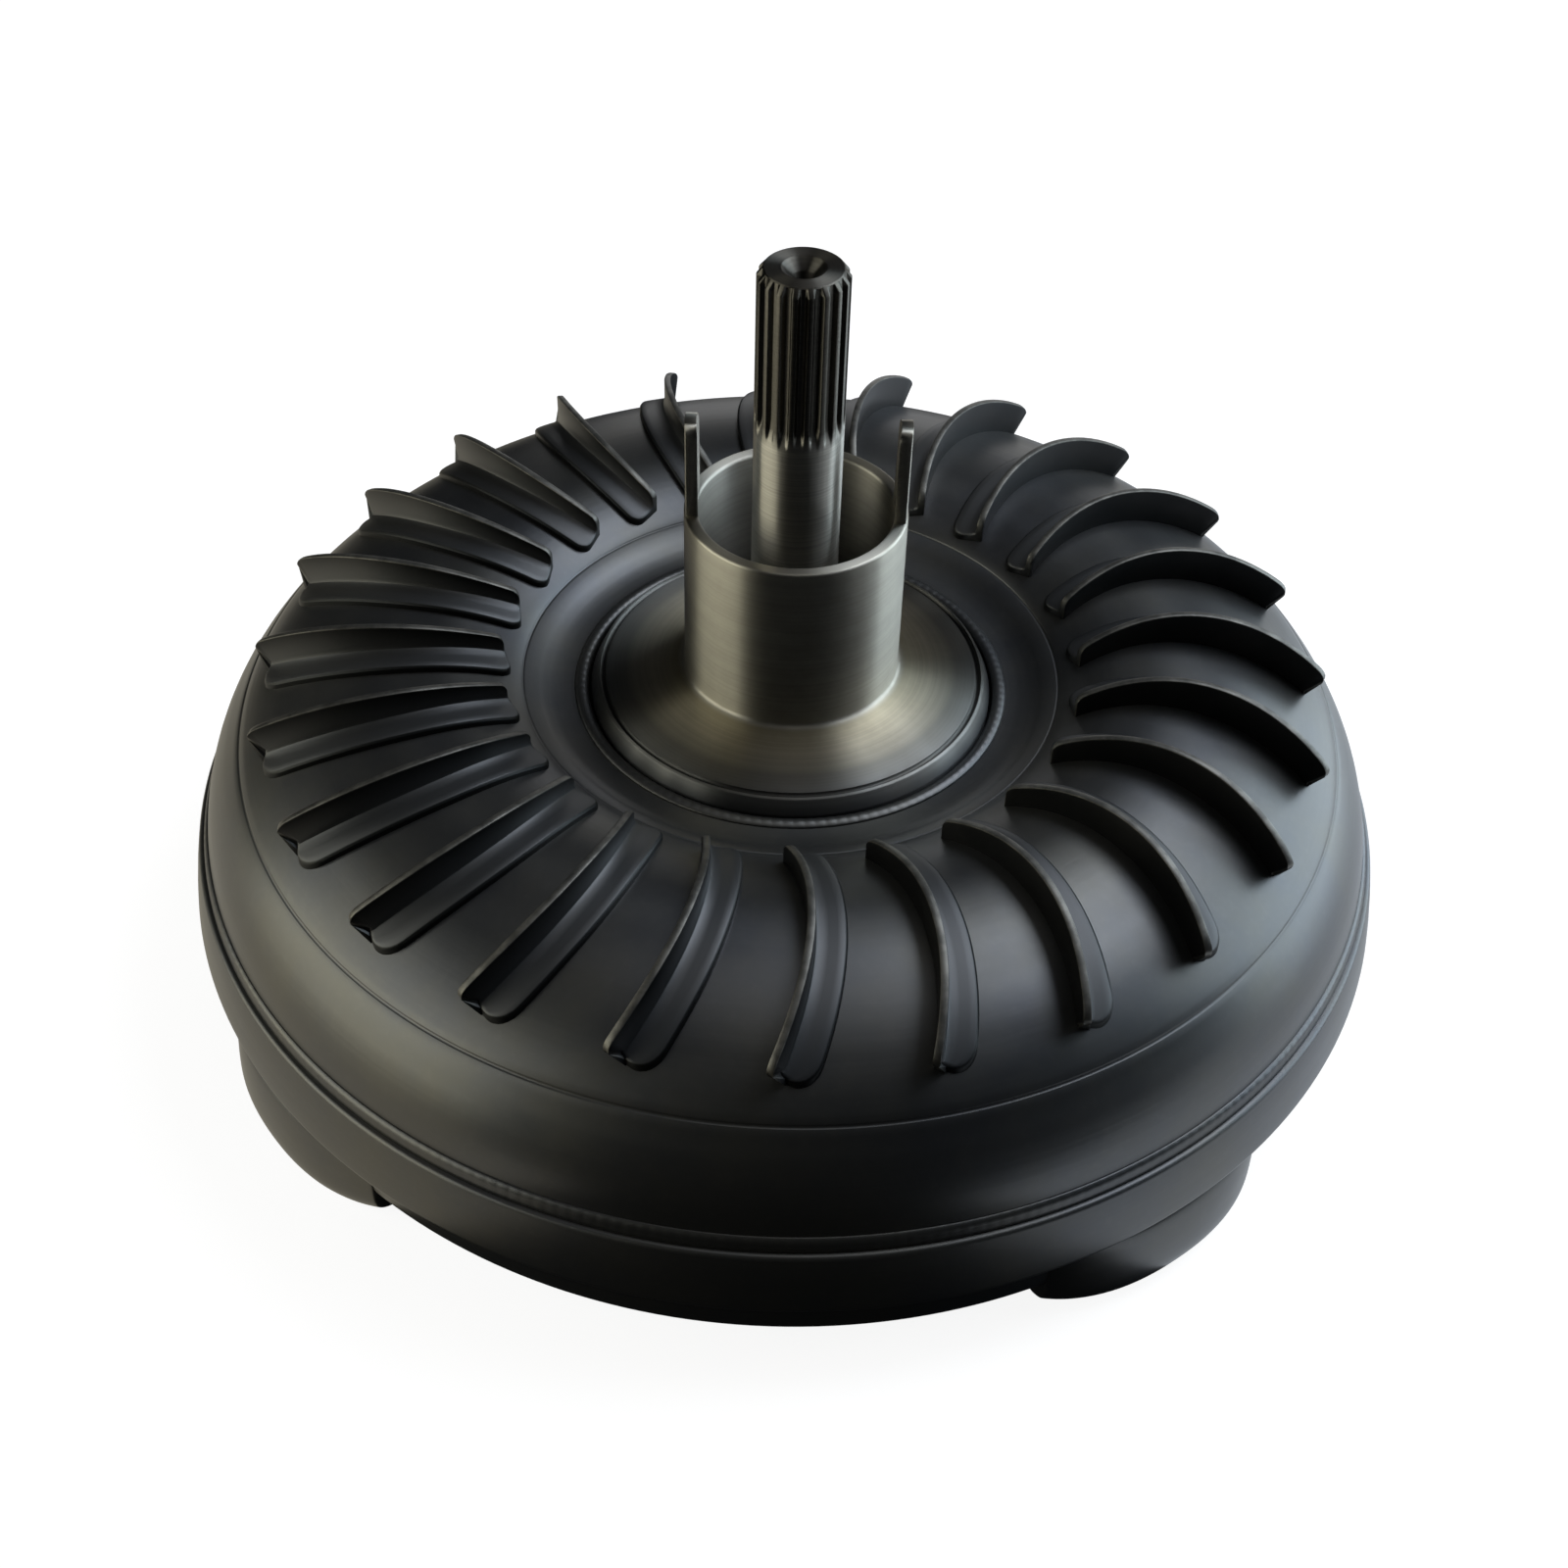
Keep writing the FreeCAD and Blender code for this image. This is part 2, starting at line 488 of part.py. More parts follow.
def shaft_snap_ring():
    root = SHAFT_R - SPLINE_DEPTH
    low = SHAFT_LOW_Z + 1.65
    blank = ring(root - 0.95, root + 2.6, low, low + 1.5)
    gap = Part.makeBox(20, 5, 4, Vector(0, -2.5, low - 1))
    return blank.cut(gap)


def turbine_hub():
    z = turbine_flange_z() - TURBINE_WALL
    hub = turned([(SHAFT_R - 3, THUB_LOW_Z), (THUB_R, THUB_LOW_Z), (THUB_R, z - THUB_FLANGE_WALL),
                  (57, z - THUB_FLANGE_WALL), (57, z), (TURBINE_FLANGE_BORE_R - 0.2, z),
                  (TURBINE_FLANGE_BORE_R - 0.2, THUB_TOP_Z), (SHAFT_R - 3, THUB_TOP_Z)])
    bore = spline_bar(SPLINE_TEETH, SHAFT_R + SPLINE_CLEARANCE, SPLINE_DEPTH,
                      THUB_LOW_Z - 1, THUB_TOP_Z + 1)
    pocket = ring(0, SHAFT_R + 2.0, THUB_LOW_Z - 1, SHAFT_LOW_Z + 4.2)
    hub = hub.cut(bore).cut(pocket)
    for hole in round_the_axis(rivet_shank(), RIVETS):
        hub = hub.cut(hole)
    return hub


def rivet_shank():
    z = turbine_flange_z()
    low = z - TURBINE_WALL - THUB_FLANGE_WALL
    return Part.makeCylinder(RIVET_R, z - low, Vector(RIVET_PCD_R, 0, low))


def turbine_rivets():
    z = turbine_flange_z()
    low = z - TURBINE_WALL - THUB_FLANGE_WALL
    head = Part.makeCone(RIVET_R * 1.8, RIVET_R, RIVET_HEAD, Vector(RIVET_PCD_R, 0, z))
    foot = Part.makeCone(RIVET_R * 1.3, RIVET_R * 1.8, RIVET_HEAD,
                         Vector(RIVET_PCD_R, 0, low - RIVET_HEAD))
    rivet = rivet_shank().fuse(head).fuse(foot).removeSplitter()
    return round_the_axis(rivet, RIVETS)


# ---------------------------------------------------------------- stator and clutch

def stator_blade():
    """Blade with a thick nose towards the turbine and a thin tail towards the pump."""
    x = STATOR_HUB_R - 1.5
    low = STATOR_LOW_Z + 2

    def at(y, z):
        return Vector(x, y, low + z)

    edges = [Part.Arc(at(-2.4, 2.5), at(0, 0), at(2.4, 2.5)),
             Part.Arc(at(2.4, 2.5), at(5.2, 11.5), at(13.2, 20.5)),
             Part.LineSegment(at(13.2, 20.5), at(12.2, 20.5)),
             Part.Arc(at(12.2, 20.5), at(1.3, 12.5), at(-2.4, 2.5))]
    face = Part.Face(Part.Wire([e.toShape() for e in edges]))
    blade = face.extrude(Vector(STATOR_RING_R - x, 0, 0))
    limit = ring(STATOR_HUB_R - 1, STATOR_RING_R - STATOR_RING_WALL / 2, low, STATOR_TOP_Z)
    return blade.common(limit)


def stator_wheel():
    low, high = STATOR_LOW_Z, STATOR_TOP_Z
    lip = END_PLATE + SNAP_WALL + 0.4
    hub = turned([(STATOR_BORE_R, low - lip), (STATOR_LIP_R, low - lip), (STATOR_LIP_R + 2, low),
                  (STATOR_HUB_R, low + 1), (STATOR_HUB_R, high - 1), (STATOR_LIP_R + 2, high),
                  (STATOR_LIP_R, high + lip), (STATOR_BORE_R, high + lip)])
    for z in (low - END_PLATE - SNAP_WALL, high + END_PLATE):
        hub = hub.cut(ring(STATOR_BORE_R - 1, STATOR_BORE_R + 1.5, z, z + SNAP_WALL))
    rim = ring(STATOR_RING_R - STATOR_RING_WALL, STATOR_RING_R, low + 1, high - 1)
    wheel = hub.multiFuse([rim] + round_the_axis(stator_blade(), STATOR_BLADES))
    return wheel.removeSplitter()


def stator_snap_rings():
    rings = []
    for z in (STATOR_LOW_Z - END_PLATE - SNAP_WALL, STATOR_TOP_Z + END_PLATE):
        blank = ring(STATOR_BORE_R - 1.6, STATOR_BORE_R + 1.4, z, z + SNAP_WALL)
        rings.append(blank.cut(Part.makeBox(60, 8, SNAP_WALL + 2, Vector(0, -4, z - 1))))
    return rings


def clutch_outer_race():
    """Outer race with a rib between every two rollers for the springs to push on."""
    low, height = STATOR_LOW_Z, STATOR_TOP_Z - STATOR_LOW_Z
    race = ring(RACE_OUT_R, STATOR_BORE_R, low, low + height)
    rib_low = RACE_IN_R + 1.2
    rib = Part.makeBox(RACE_OUT_R + 2 - rib_low, 2.4, height, Vector(rib_low, -1.2, low))
    ribs = round_the_axis(rib, ROLLERS, 180.0 / ROLLERS)
    return race.multiFuse(ribs).removeSplitter()


def clutch_rollers():
    middle = (RACE_OUT_R + RACE_IN_R) / 2
    low = (STATOR_LOW_Z + STATOR_TOP_Z - ROLLER_LENGTH) / 2
    roller = Part.makeCylinder(ROLLER_R, ROLLER_LENGTH, Vector(middle, 0, low))
    chamfered = roller.makeChamfer(0.4, [e for e in roller.Edges if e.Closed])
    return round_the_axis(chamfered, ROLLERS)


def clutch_springs():
    """Folded strip springs, each between a rib and its roller."""
    near, far = RACE_IN_R + 1.8, RACE_OUT_R - 1.8
    start, pitch, folds, strip, length = 4.15, 0.6, 4, 0.3, 12.0
    low = (STATOR_LOW_Z + STATOR_TOP_Z - length) / 2
    spring = Part.makeBox(far - near, strip, length, Vector(near, start, low))
    for i in range(1, folds):
        leg_y = start + i * pitch
        leg = Part.makeBox(far - near, strip, length, Vector(near, leg_y, low))
        bend_x = far - strip if i % 2 else near
        bend = Part.makeBox(strip, pitch, length, Vector(bend_x, leg_y - pitch, low))
        spring = spring.fuse(leg).fuse(bend)
    return round_the_axis(spring.removeSplitter(), ROLLERS)


def clutch_inner_race():
    low, high = STATOR_LOW_Z - 1.9, STATOR_TOP_Z + 1.9
    race = ring(RACE_BORE_R - 1.6, RACE_IN_R, low, high)
    bore = spline_bar(RACE_SPLINE_TEETH, RACE_BORE_R, 1.1, low - 1, high + 1)
    return race.cut(bore)


def end_plate(low_z):
    return ring(RACE_IN_R + 2 * RUN, STATOR_BORE_R - 0.05, low_z, low_z + END_PLATE)


# ---------------------------------------------------------------- thrust bearings

def bearing_race(low_z):
    return ring(BEARING_IN_R, BEARING_OUT_R, low_z, low_z + RACE_WALL)


def needles(low_z):
    length = BEARING_OUT_R - BEARING_IN_R - 3.0
    start = Vector(BEARING_IN_R + 1.5, 0, low_z + NEEDLE_R)
    needle = Part.makeCylinder(NEEDLE_R, length, start, Vector(1, 0, 0))
    return round_the_axis(needle, NEEDLE_COUNT)


def needle_cage(low_z):
    middle = low_z + NEEDLE_R
    cage = ring(BEARING_IN_R, BEARING_OUT_R, middle - 0.6, middle + 0.6)
    window = Part.makeBox(BEARING_OUT_R - BEARING_IN_R - 2.8, 2 * NEEDLE_R + 0.1, 3,
                          Vector(BEARING_IN_R + 1.4, -NEEDLE_R - 0.05, middle - 1.5))
    for hole in round_the_axis(window, NEEDLE_COUNT):
        cage = cage.cut(hole)
    return cage


def cover_thrust_washer():
    washer = ring(SHAFT_R + 4, 33.0, COVER_FLOOR_Z, COVER_FLOOR_Z + COVER_WASHER)
    groove = Part.makeBox(40, 3, 1, Vector(0, -1.5, COVER_FLOOR_Z + COVER_WASHER - 1))
    for cutter in round_the_axis(groove, 6):
        washer = washer.cut(cutter)
    return washer


# ---------------------------------------------------------------- assembly

LOWER_NEEDLES_Z = THUB_TOP_Z + RACE_WALL + FACE_GAP
LOWER_TOP_RACE_Z = LOWER_NEEDLES_Z + 2 * NEEDLE_R
UPPER_END_Z = STATOR_TOP_Z + END_PLATE
UPPER_NEEDLES_Z = UPPER_END_Z + RACE_WALL
UPPER_TOP_RACE_Z = HUB_UNDERSIDE_Z - RACE_WALL


def build():
    return {
        "impeller_shell": impeller_shell(),
        "cooling_fins": cooling_fins(),
        "pump_drive_hub": pump_drive_hub(),
        "hub_weld": hub_weld(),
        "impeller_blades": impeller_blades(),
        "impeller_core_ring": core_ring(MID_Z + MID_GAP / 2, MID_Z + CORE_SECTION_R + 1),
        "front_cover": front_cover(),
        "closing_weld": closing_weld(),
        "pilot_spigot": pilot_spigot(),
        "drive_lugs": drive_lugs(),
        "cover_thrust_washer": cover_thrust_washer(),
        "pump_side_hub_race": bearing_race(UPPER_TOP_RACE_Z),
        "pump_side_needles": needles(UPPER_NEEDLES_Z),
        "pump_side_needle_cage": needle_cage(UPPER_NEEDLES_Z),
        "pump_side_stator_race": bearing_race(UPPER_END_Z),
        "turbine_shell": turbine_shell(),
        "turbine_blades": turbine_blades(),
        "turbine_core_ring": core_ring(MID_Z - CORE_SECTION_R - 1, MID_Z - MID_GAP / 2),
        "turbine_hub": turbine_hub(),
        "turbine_rivets": turbine_rivets(),
        "turbine_shaft": turbine_shaft(),
        "shaft_snap_ring": shaft_snap_ring(),
        "turbine_side_hub_race": bearing_race(THUB_TOP_Z),
        "turbine_side_needles": needles(LOWER_NEEDLES_Z),
        "turbine_side_needle_cage": needle_cage(LOWER_NEEDLES_Z),
        "turbine_side_stator_race": bearing_race(LOWER_TOP_RACE_Z),
        "stator_wheel": stator_wheel(),
        "stator_snap_rings": stator_snap_rings(),
        "clutch_outer_race": clutch_outer_race(),
        "clutch_rollers": clutch_rollers(),
        "clutch_springs": clutch_springs(),
        "clutch_end_plate_pump_side": end_plate(STATOR_TOP_Z),
        "clutch_end_plate_turbine_side": end_plate(STATOR_LOW_Z - END_PLATE),
        "clutch_inner_race": clutch_inner_race(),
    }


def write(pieces):
    os.makedirs("parts", exist_ok=True)
    for name, shape in pieces.items():
        if isinstance(shape, list):
            shape = Part.makeCompound(shape)
        shape.exportStep("parts/" + name + ".step")
        box = shape.BoundBox
        print("%-30s solids %3d valid %s volume %10.1f z %6.2f..%6.2f r %.1f" % (
            name, len(shape.Solids), shape.isValid(), shape.Volume, box.ZMin, box.ZMax, box.XMax))


write(build())
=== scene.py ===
import math
import random
import bmesh
import bpy
from mathutils import Matrix, Vector


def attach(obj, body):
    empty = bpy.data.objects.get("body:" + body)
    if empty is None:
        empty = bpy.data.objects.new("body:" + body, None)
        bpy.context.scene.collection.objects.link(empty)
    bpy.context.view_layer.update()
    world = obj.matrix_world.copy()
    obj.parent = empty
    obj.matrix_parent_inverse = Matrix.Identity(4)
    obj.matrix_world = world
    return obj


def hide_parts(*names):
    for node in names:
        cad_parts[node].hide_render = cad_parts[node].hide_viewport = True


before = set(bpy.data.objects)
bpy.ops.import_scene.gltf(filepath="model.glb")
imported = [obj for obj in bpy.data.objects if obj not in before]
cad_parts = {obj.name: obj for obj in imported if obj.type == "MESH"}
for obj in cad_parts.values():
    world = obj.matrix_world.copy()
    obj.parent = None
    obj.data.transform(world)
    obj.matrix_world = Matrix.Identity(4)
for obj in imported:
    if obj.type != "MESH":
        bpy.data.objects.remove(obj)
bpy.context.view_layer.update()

# ------------------------------------------------------------------ front cover
# The engine side of the converter: a dish pressed from 5 mm steel plate, turned where its
# thicker outer band meets the pump shell, then sprayed satin black with the whole case.

MM = 0.001


def linear(hex_colour):
    """An sRGB hex colour as the linear RGBA that a shader socket takes."""
    parts = [int(hex_colour[i:i + 2], 16) / 255 for i in (1, 3, 5)]
    return (*[c / 12.92 if c <= 0.04045 else ((c + 0.055) / 1.055) ** 2.4 for c in parts], 1.0)


def add(tree, kind, inputs=(), **settings):
    """A new node with its settings.

    Its inputs come by name or number, or as a row from the first one on; each is set to a
    value, or linked to a socket or to the first output in use of another node.
    """
    node = tree.nodes.new(kind)
    for name, value in settings.items():
        setattr(node, name, value)
    for key, value in inputs.items() if isinstance(inputs, dict) else enumerate(inputs):
        if isinstance(value, bpy.types.Node):
            value = next(socket for socket in value.outputs if socket.enabled)
        if isinstance(value, bpy.types.NodeSocket):
            tree.links.new(value, node.inputs[key])
        else:
            node.inputs[key].default_value = value
    return node


def new_material(name):
    """An empty node material, with its tree."""
    material = bpy.data.materials.new(name)
    material.use_nodes = True
    material.node_tree.nodes.clear()
    return material, material.node_tree


def ring_coordinates(tree):
    """Distance from the axis and height, in metres, so that a pattern runs round the axis."""
    place = add(tree, "ShaderNodeTexCoord").outputs["Object"]
    x, y, z = add(tree, "ShaderNodeSeparateXYZ", [place]).outputs
    flat = add(tree, "ShaderNodeCombineXYZ", [x, y])
    out = add(tree, "ShaderNodeVectorMath", [flat], operation="LENGTH")
    return place, out, add(tree, "ShaderNodeCombineXYZ", [out, z])


def satin_black_case(name, line_depth):
    """Thin satin black enamel on turned steel plate.

    The paint is thin enough to keep the turning lines, so the sheen is broad and soft; it
    clouds over 20 to 60 mm, and dust and handling leave it greyer in places.
    """
    material, tree = new_material(name)
    place, _, section = ring_coordinates(tree)
    cloud = add(tree, "ShaderNodeTexNoise", {"Vector": place, "Scale": 24.0, "Detail": 4.0,
                                             "Roughness": 0.6})
    speck = add(tree, "ShaderNodeTexNoise", {"Vector": place, "Scale": 420.0, "Detail": 3.0})
    rings = add(tree, "ShaderNodeTexNoise", {"Vector": section, "Scale": 620.0, "Detail": 2.0},
                noise_dimensions="2D")
    broad_rings = add(tree, "ShaderNodeTexNoise", {"Vector": section, "Scale": 110.0,
                                                   "Detail": 2.0}, noise_dimensions="2D")
    clouded = add(tree, "ShaderNodeMapRange", [cloud, 0.35, 0.68, 0.0, 1.0])
    tone = add(tree, "ShaderNodeMix", {"Factor": clouded, "A": linear("#515254"),
                                       "B": linear("#595854")}, data_type="RGBA")
    dust = add(tree, "ShaderNodeMapRange", [speck, 0.5, 0.8, 0.0, 0.12])
    dusty = add(tree, "ShaderNodeMix", {"Factor": dust, "A": tone, "B": linear("#6a6a67")},
                data_type="RGBA")
    sheen = add(tree, "ShaderNodeMath", [
        add(tree, "ShaderNodeMapRange", [cloud, 0.3, 0.7, 0.36, 0.41]),
        add(tree, "ShaderNodeMapRange", [broad_rings, 0.3, 0.7, -0.02, 0.02])])
    grain = add(tree, "ShaderNodeBump", {"Height": speck, "Strength": 0.10,
                                         "Distance": 0.05 * MM})
    turned = add(tree, "ShaderNodeBump", {"Height": rings, "Strength": 0.35,
                                          "Distance": line_depth * MM, "Normal": grain})
    surface = add(tree, "ShaderNodeBsdfPrincipled", {
        "Base Color": dusty, "Metallic": 0.9, "Roughness": sheen, "Normal": turned})
    add(tree, "ShaderNodeOutputMaterial", [surface])
    return material


def new_tree(name, inputs, result):
    """An empty Geometry Nodes tree with named inputs, and the sockets that give them."""
    tree = bpy.data.node_groups.new(name, "GeometryNodeTree")
    for label, kind in inputs.items():
        tree.interface.new_socket(label, in_out="INPUT", socket_type="NodeSocket" + kind)
    tree.interface.new_socket(result, in_out="OUTPUT", socket_type="NodeSocketGeometry")
    return tree, tree.nodes.new("NodeGroupInput").outputs


def turning_tree():
    """Geometry Nodes: turns a section, a chain of points in the XZ plane, about the Z axis."""
    tree, given = new_tree("turned_part", {
        "Section": "Geometry", "Section points": "Int", "Facets round": "Int",
        "Sharp over": "Float", "Finish": "Material"}, "Part")
    columns = add(tree, "ShaderNodeMath", [given["Facets round"], 1.0])
    rows = add(tree, "ShaderNodeMath", [given["Section points"], 1.0])
    sheet = add(tree, "GeometryNodeMeshGrid", {"Vertices X": rows, "Vertices Y": columns})
    index = add(tree, "GeometryNodeInputIndex")
    row = add(tree, "ShaderNodeMath", [index, columns], operation="DIVIDE")
    row = add(tree, "ShaderNodeMath", [row], operation="FLOOR")
    chain = add(tree, "ShaderNodeMath", [row, given["Section points"]], operation="MODULO")
    column = add(tree, "ShaderNodeMath", [index, columns], operation="MODULO")
    share = add(tree, "ShaderNodeMath", [column, given["Facets round"]], operation="DIVIDE")
    angle = add(tree, "ShaderNodeMath", [share, math.tau], operation="MULTIPLY")
    place = add(tree, "GeometryNodeInputPosition")
    point = add(tree, "GeometryNodeSampleIndex", {"Geometry": given["Section"], "Value": place,
                                                  "Index": chain},
                data_type="FLOAT_VECTOR", domain="POINT")
    swung = add(tree, "ShaderNodeVectorRotate", {"Vector": point, "Angle": angle},
                rotation_type="Z_AXIS")
    wrapped = add(tree, "GeometryNodeSetPosition", {"Geometry": sheet.outputs["Mesh"],
                                                    "Position": swung})
    closed = add(tree, "GeometryNodeMergeByDistance", {"Geometry": wrapped,
                                                       "Distance": 0.002 * MM})
    smooth = add(tree, "GeometryNodeSetShadeSmooth", {"Geometry": closed, "Shade Smooth": True},
                 domain="FACE")
    fold = add(tree, "GeometryNodeInputMeshEdgeAngle").outputs["Unsigned Angle"]
    sharp = add(tree, "FunctionNodeCompare", {"A": fold, "B": given["Sharp over"]},
                data_type="FLOAT", operation="GREATER_THAN")
    creased = add(tree, "GeometryNodeSetShadeSmooth", {
        "Geometry": smooth, "Selection": sharp, "Shade Smooth": False}, domain="EDGE")
    real = add(tree, "GeometryNodeRealizeInstances", [creased])
    painted = add(tree, "GeometryNodeSetMaterial", {"Geometry": real,
                                                    "Material": given["Finish"]})
    add(tree, "NodeGroupOutput", [painted])
    return tree


TURNING = turning_tree()


def made_plain(name, base, tree, settings, body, nodes):
    """Runs a tree on a base mesh, keeps the result as a plain piece, and gives it to the frame."""
    piece = bpy.data.objects.new(name, base)
    bpy.context.scene.collection.objects.link(piece)
    if tree:
        modifier = piece.modifiers.new("maker", "NODES")
        modifier.node_group = tree
        for socket in tree.interface.items_tree:
            if socket.in_out == "INPUT" and socket.name in settings:
                modifier[socket.identifier] = settings[socket.name]
        piece.update_tag()
        depsgraph = bpy.context.evaluated_depsgraph_get()
        result = bpy.data.meshes.new_from_object(piece.evaluated_get(depsgraph))
        piece.modifiers.remove(modifier)
        piece.data = result
    piece.data.name = name
    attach(piece, body)
    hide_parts(*nodes)
    return piece


def arc(centre, radius, start, end, step=5.0):
    """Section points on an arc; its angles run from +Z towards +r."""
    count = max(2, math.ceil(abs(end - start) / step))
    angles = [math.radians(start + (end - start) * i / count) for i in range(count + 1)]
    return [(centre[0] + radius * math.sin(a), centre[1] + radius * math.cos(a)) for a in angles]


def softened(corners):
    """A closed section from (r, z, rounding) corners in mm; a rounded one becomes an arc."""
    points = []
    for i, corner in enumerate(corners):
        here = Vector(corner[:2])
        size = corner[2] if len(corner) > 2 else 0
        before = Vector(corners[i - 1][:2]) - here
        after = Vector(corners[(i + 1) % len(corners)][:2]) - here
        half = before.angle(after) / 2
        if not size:
            points.append(tuple(here))
            continue
        reach = min(size / math.tan(half), 0.48 * before.length, 0.48 * after.length)
        start, end = here + before.normalized() * reach, here + after.normalized() * reach
        steps = max(2, math.ceil((math.pi - 2 * half) / math.radians(16)))
        for k in range(steps + 1):
            t = k / steps
            points.append(tuple((1 - t) ** 2 * start + 2 * t * (1 - t) * here + t * t * end))
    return points


def turned_part(name, points, facets, finish, body, nodes, sharp=40):
    """A turned piece from its section, given clockwise as seen with r to the right, z up."""
    chain = bpy.data.meshes.new(name + "_section")
    chain.from_pydata([(r * MM, 0, z * MM) for r, z in points], [], [])
    return made_plain(name, chain, TURNING, {
        "Section points": len(points), "Facets round": facets,
        "Sharp over": math.radians(sharp), "Finish": finish}, body, nodes)


CASE_BLACK = satin_black_case("satin_black_enamel_on_turned_steel", 0.06)

COVER_WALL_R, COVER_BORE_R, COVER_LOW_Z, COVER_FLOOR_Z = 158.0, 152.5, 8.0, 13.0
BAND_R, BAND_TOP_R, BAND_LOW_Z, BAND_TOP_Z = 164.2, 161.4, 25.0, 43.2
SKIRT_R, SKIRT_LOW_Z = 158.64, 27.0
cover_section = softened([
    (14.0, COVER_LOW_Z, 0.3), (118.0, COVER_LOW_Z), (COVER_WALL_R, COVER_LOW_Z, 5.0),
    (COVER_WALL_R, BAND_LOW_Z - 1.0, 1.2), (BAND_R - 0.05, BAND_LOW_Z + 0.5, 1.6),
    (BAND_R - 0.75, 31.5), (BAND_R - 1.6, 37.0), (BAND_TOP_R, BAND_TOP_Z, 1.5),
    (SKIRT_R, BAND_TOP_Z, 0.2),
    (SKIRT_R, SKIRT_LOW_Z, 0.2), (COVER_BORE_R, SKIRT_LOW_Z, 0.4),
    (COVER_BORE_R, COVER_FLOOR_Z, 4.0), (118.0, COVER_FLOOR_Z), (14.0, COVER_FLOOR_Z, 0.3)])
turned_part("front_cover_pressing", cover_section[::-1], 256, CASE_BLACK,
            "housing", ["front_cover"], 30)

# ------------------------------------------------------------------ pilot spigot
# A turned steel button pressed and welded into the middle of the cover. It centres the
# converter in the engine's crankshaft, so its rim is left bright and oiled.


def turned_bright_steel(name, colour, roughness, stretch, line_depth, stain, darker_from=None):
    """Turned or ground carbon steel, unpainted.

    The tool leaves fine lines round the axis, about 0.15 mm apart and drawn at 0.5 mm so that they
    show, which stretch every highlight along the axis; oil leaves it straw-tinted, and its colour
    goes nearly black above a given height.
    """
    material, tree = new_material(name)
    place, _, section = ring_coordinates(tree)
    stains = add(tree, "ShaderNodeTexNoise", {"Vector": place, "Scale": 45.0, "Detail": 5.0,
                                              "Roughness": 0.62})
    lines = add(tree, "ShaderNodeTexNoise", {"Vector": section, "Scale": 1900.0, "Detail": 2.0},
                noise_dimensions="2D")
    tint = add(tree, "ShaderNodeMix", {
        "Factor": add(tree, "ShaderNodeMapRange", [stains, 0.42, 0.75, 0.0, stain]),
        "A": linear(colour), "B": linear("#6d5f48")}, data_type="RGBA")
    lined = add(tree, "ShaderNodeMix", {
        "Factor": add(tree, "ShaderNodeMapRange", [lines, 0.35, 0.7, 0.0, 0.25]),
        "A": tint, "B": linear("#5c5a56")}, data_type="RGBA")
    if darker_from:
        # the colour goes nearly black above the given height
        height = add(tree, "ShaderNodeSeparateXYZ", [place]).outputs["Z"]
        darkening = add(tree, "ShaderNodeMapRange", [height, darker_from * MM, (darker_from + 5) * MM,
                                                0.0, 0.8])
        lined = add(tree, "ShaderNodeMix", {"Factor": darkening, "A": lined,
                                            "B": linear("#2b2720")}, data_type="RGBA")
    gloss = add(tree, "ShaderNodeMapRange", [stains, 0.3, 0.75, roughness - 0.03,
                                             roughness + 0.06])
    cut = add(tree, "ShaderNodeBump", {"Height": lines, "Strength": 0.3,
                                       "Distance": line_depth * MM})
    round_axis = add(tree, "ShaderNodeTangent", direction_type="RADIAL", axis="Z")
    surface = add(tree, "ShaderNodeBsdfPrincipled", {
        "Base Color": lined, "Metallic": 1.0, "Roughness": gloss, "Anisotropic": stretch,
        "Anisotropic Rotation": 0.25, "Tangent": round_axis, "Normal": cut})
    add(tree, "ShaderNodeOutputMaterial", [surface])
    return material


PILOT_STEEL = turned_bright_steel("turned_pilot_steel", "#a9a59b", 0.32, 0.5, 0.02, 0.5)
pilot_section = softened([
    (0.0, 0.5), (8.0, 0.5), (22.0, 0.5, 1.8), (22.0, 8.0), (14.0, 8.0), (14.0, 13.0, 0.4),
    (0.0, 13.0)])
turned_part("pilot_spigot_button", pilot_section[::-1], 96, PILOT_STEEL,
            "housing", ["pilot_spigot"], 30)

# ------------------------------------------------------------------ drive lugs
# Four forged pads that wrap the cover's corner and take the drive-plate bolts from below.
# Forging leaves them rounded all over, and the paint runs from them onto the band.

LUG_COUNT, LUG_PHASE, LUG_HALF_ANGLE, LUG_REACH_R, LUG_INNER_R = 4, 38.0, 13.0, 165.6, 122.0
LUG_TOP_Z, LUG_HOLE_PCD_R, LUG_HOLE_R, LUG_HOLE_DEPTH = 25.2, 145.0, 4.25, 7.6


def lug_section(turn):
    """Closed section of a pad at an angle from its middle: (r, z) points in mm."""
    across = min(1.0, abs(turn) / LUG_HALF_ANGLE)
    reach = COVER_WALL_R + (LUG_REACH_R - COVER_WALL_R) * (1 - across ** 3)
    inner = LUG_INNER_R + 5.0 * across ** 6
    out = reach - COVER_WALL_R
    return [(inner + 2.0, 0.0), (inner, 2.0), (inner, COVER_LOW_Z + 0.6),
            (150.0, COVER_LOW_Z + 1.0), (155.5, COVER_LOW_Z + 3.0), (156.4, LUG_TOP_Z),
            (COVER_WALL_R + 0.1, LUG_TOP_Z - 0.4), (COVER_WALL_R + 0.68 * out, LUG_TOP_Z),
            (COVER_WALL_R + 0.80 * out, 21.0), (COVER_WALL_R + 0.94 * out, 14.8), (reach, 9.0),
            (reach - 0.2, 5.5), (reach - 1.6, 2.4), (reach - 5.4, 0.0), (150.0, 0.0),
            (136.0, 0.0)]


def skin(mesh, loops):
    """Faces between neighbouring closed loops of points."""
    for near, far in zip(loops, loops[1:]):
        for i in range(len(near)):
            j = (i + 1) % len(near)
            mesh.faces.new((near[i], near[j], far[j], far[i]))


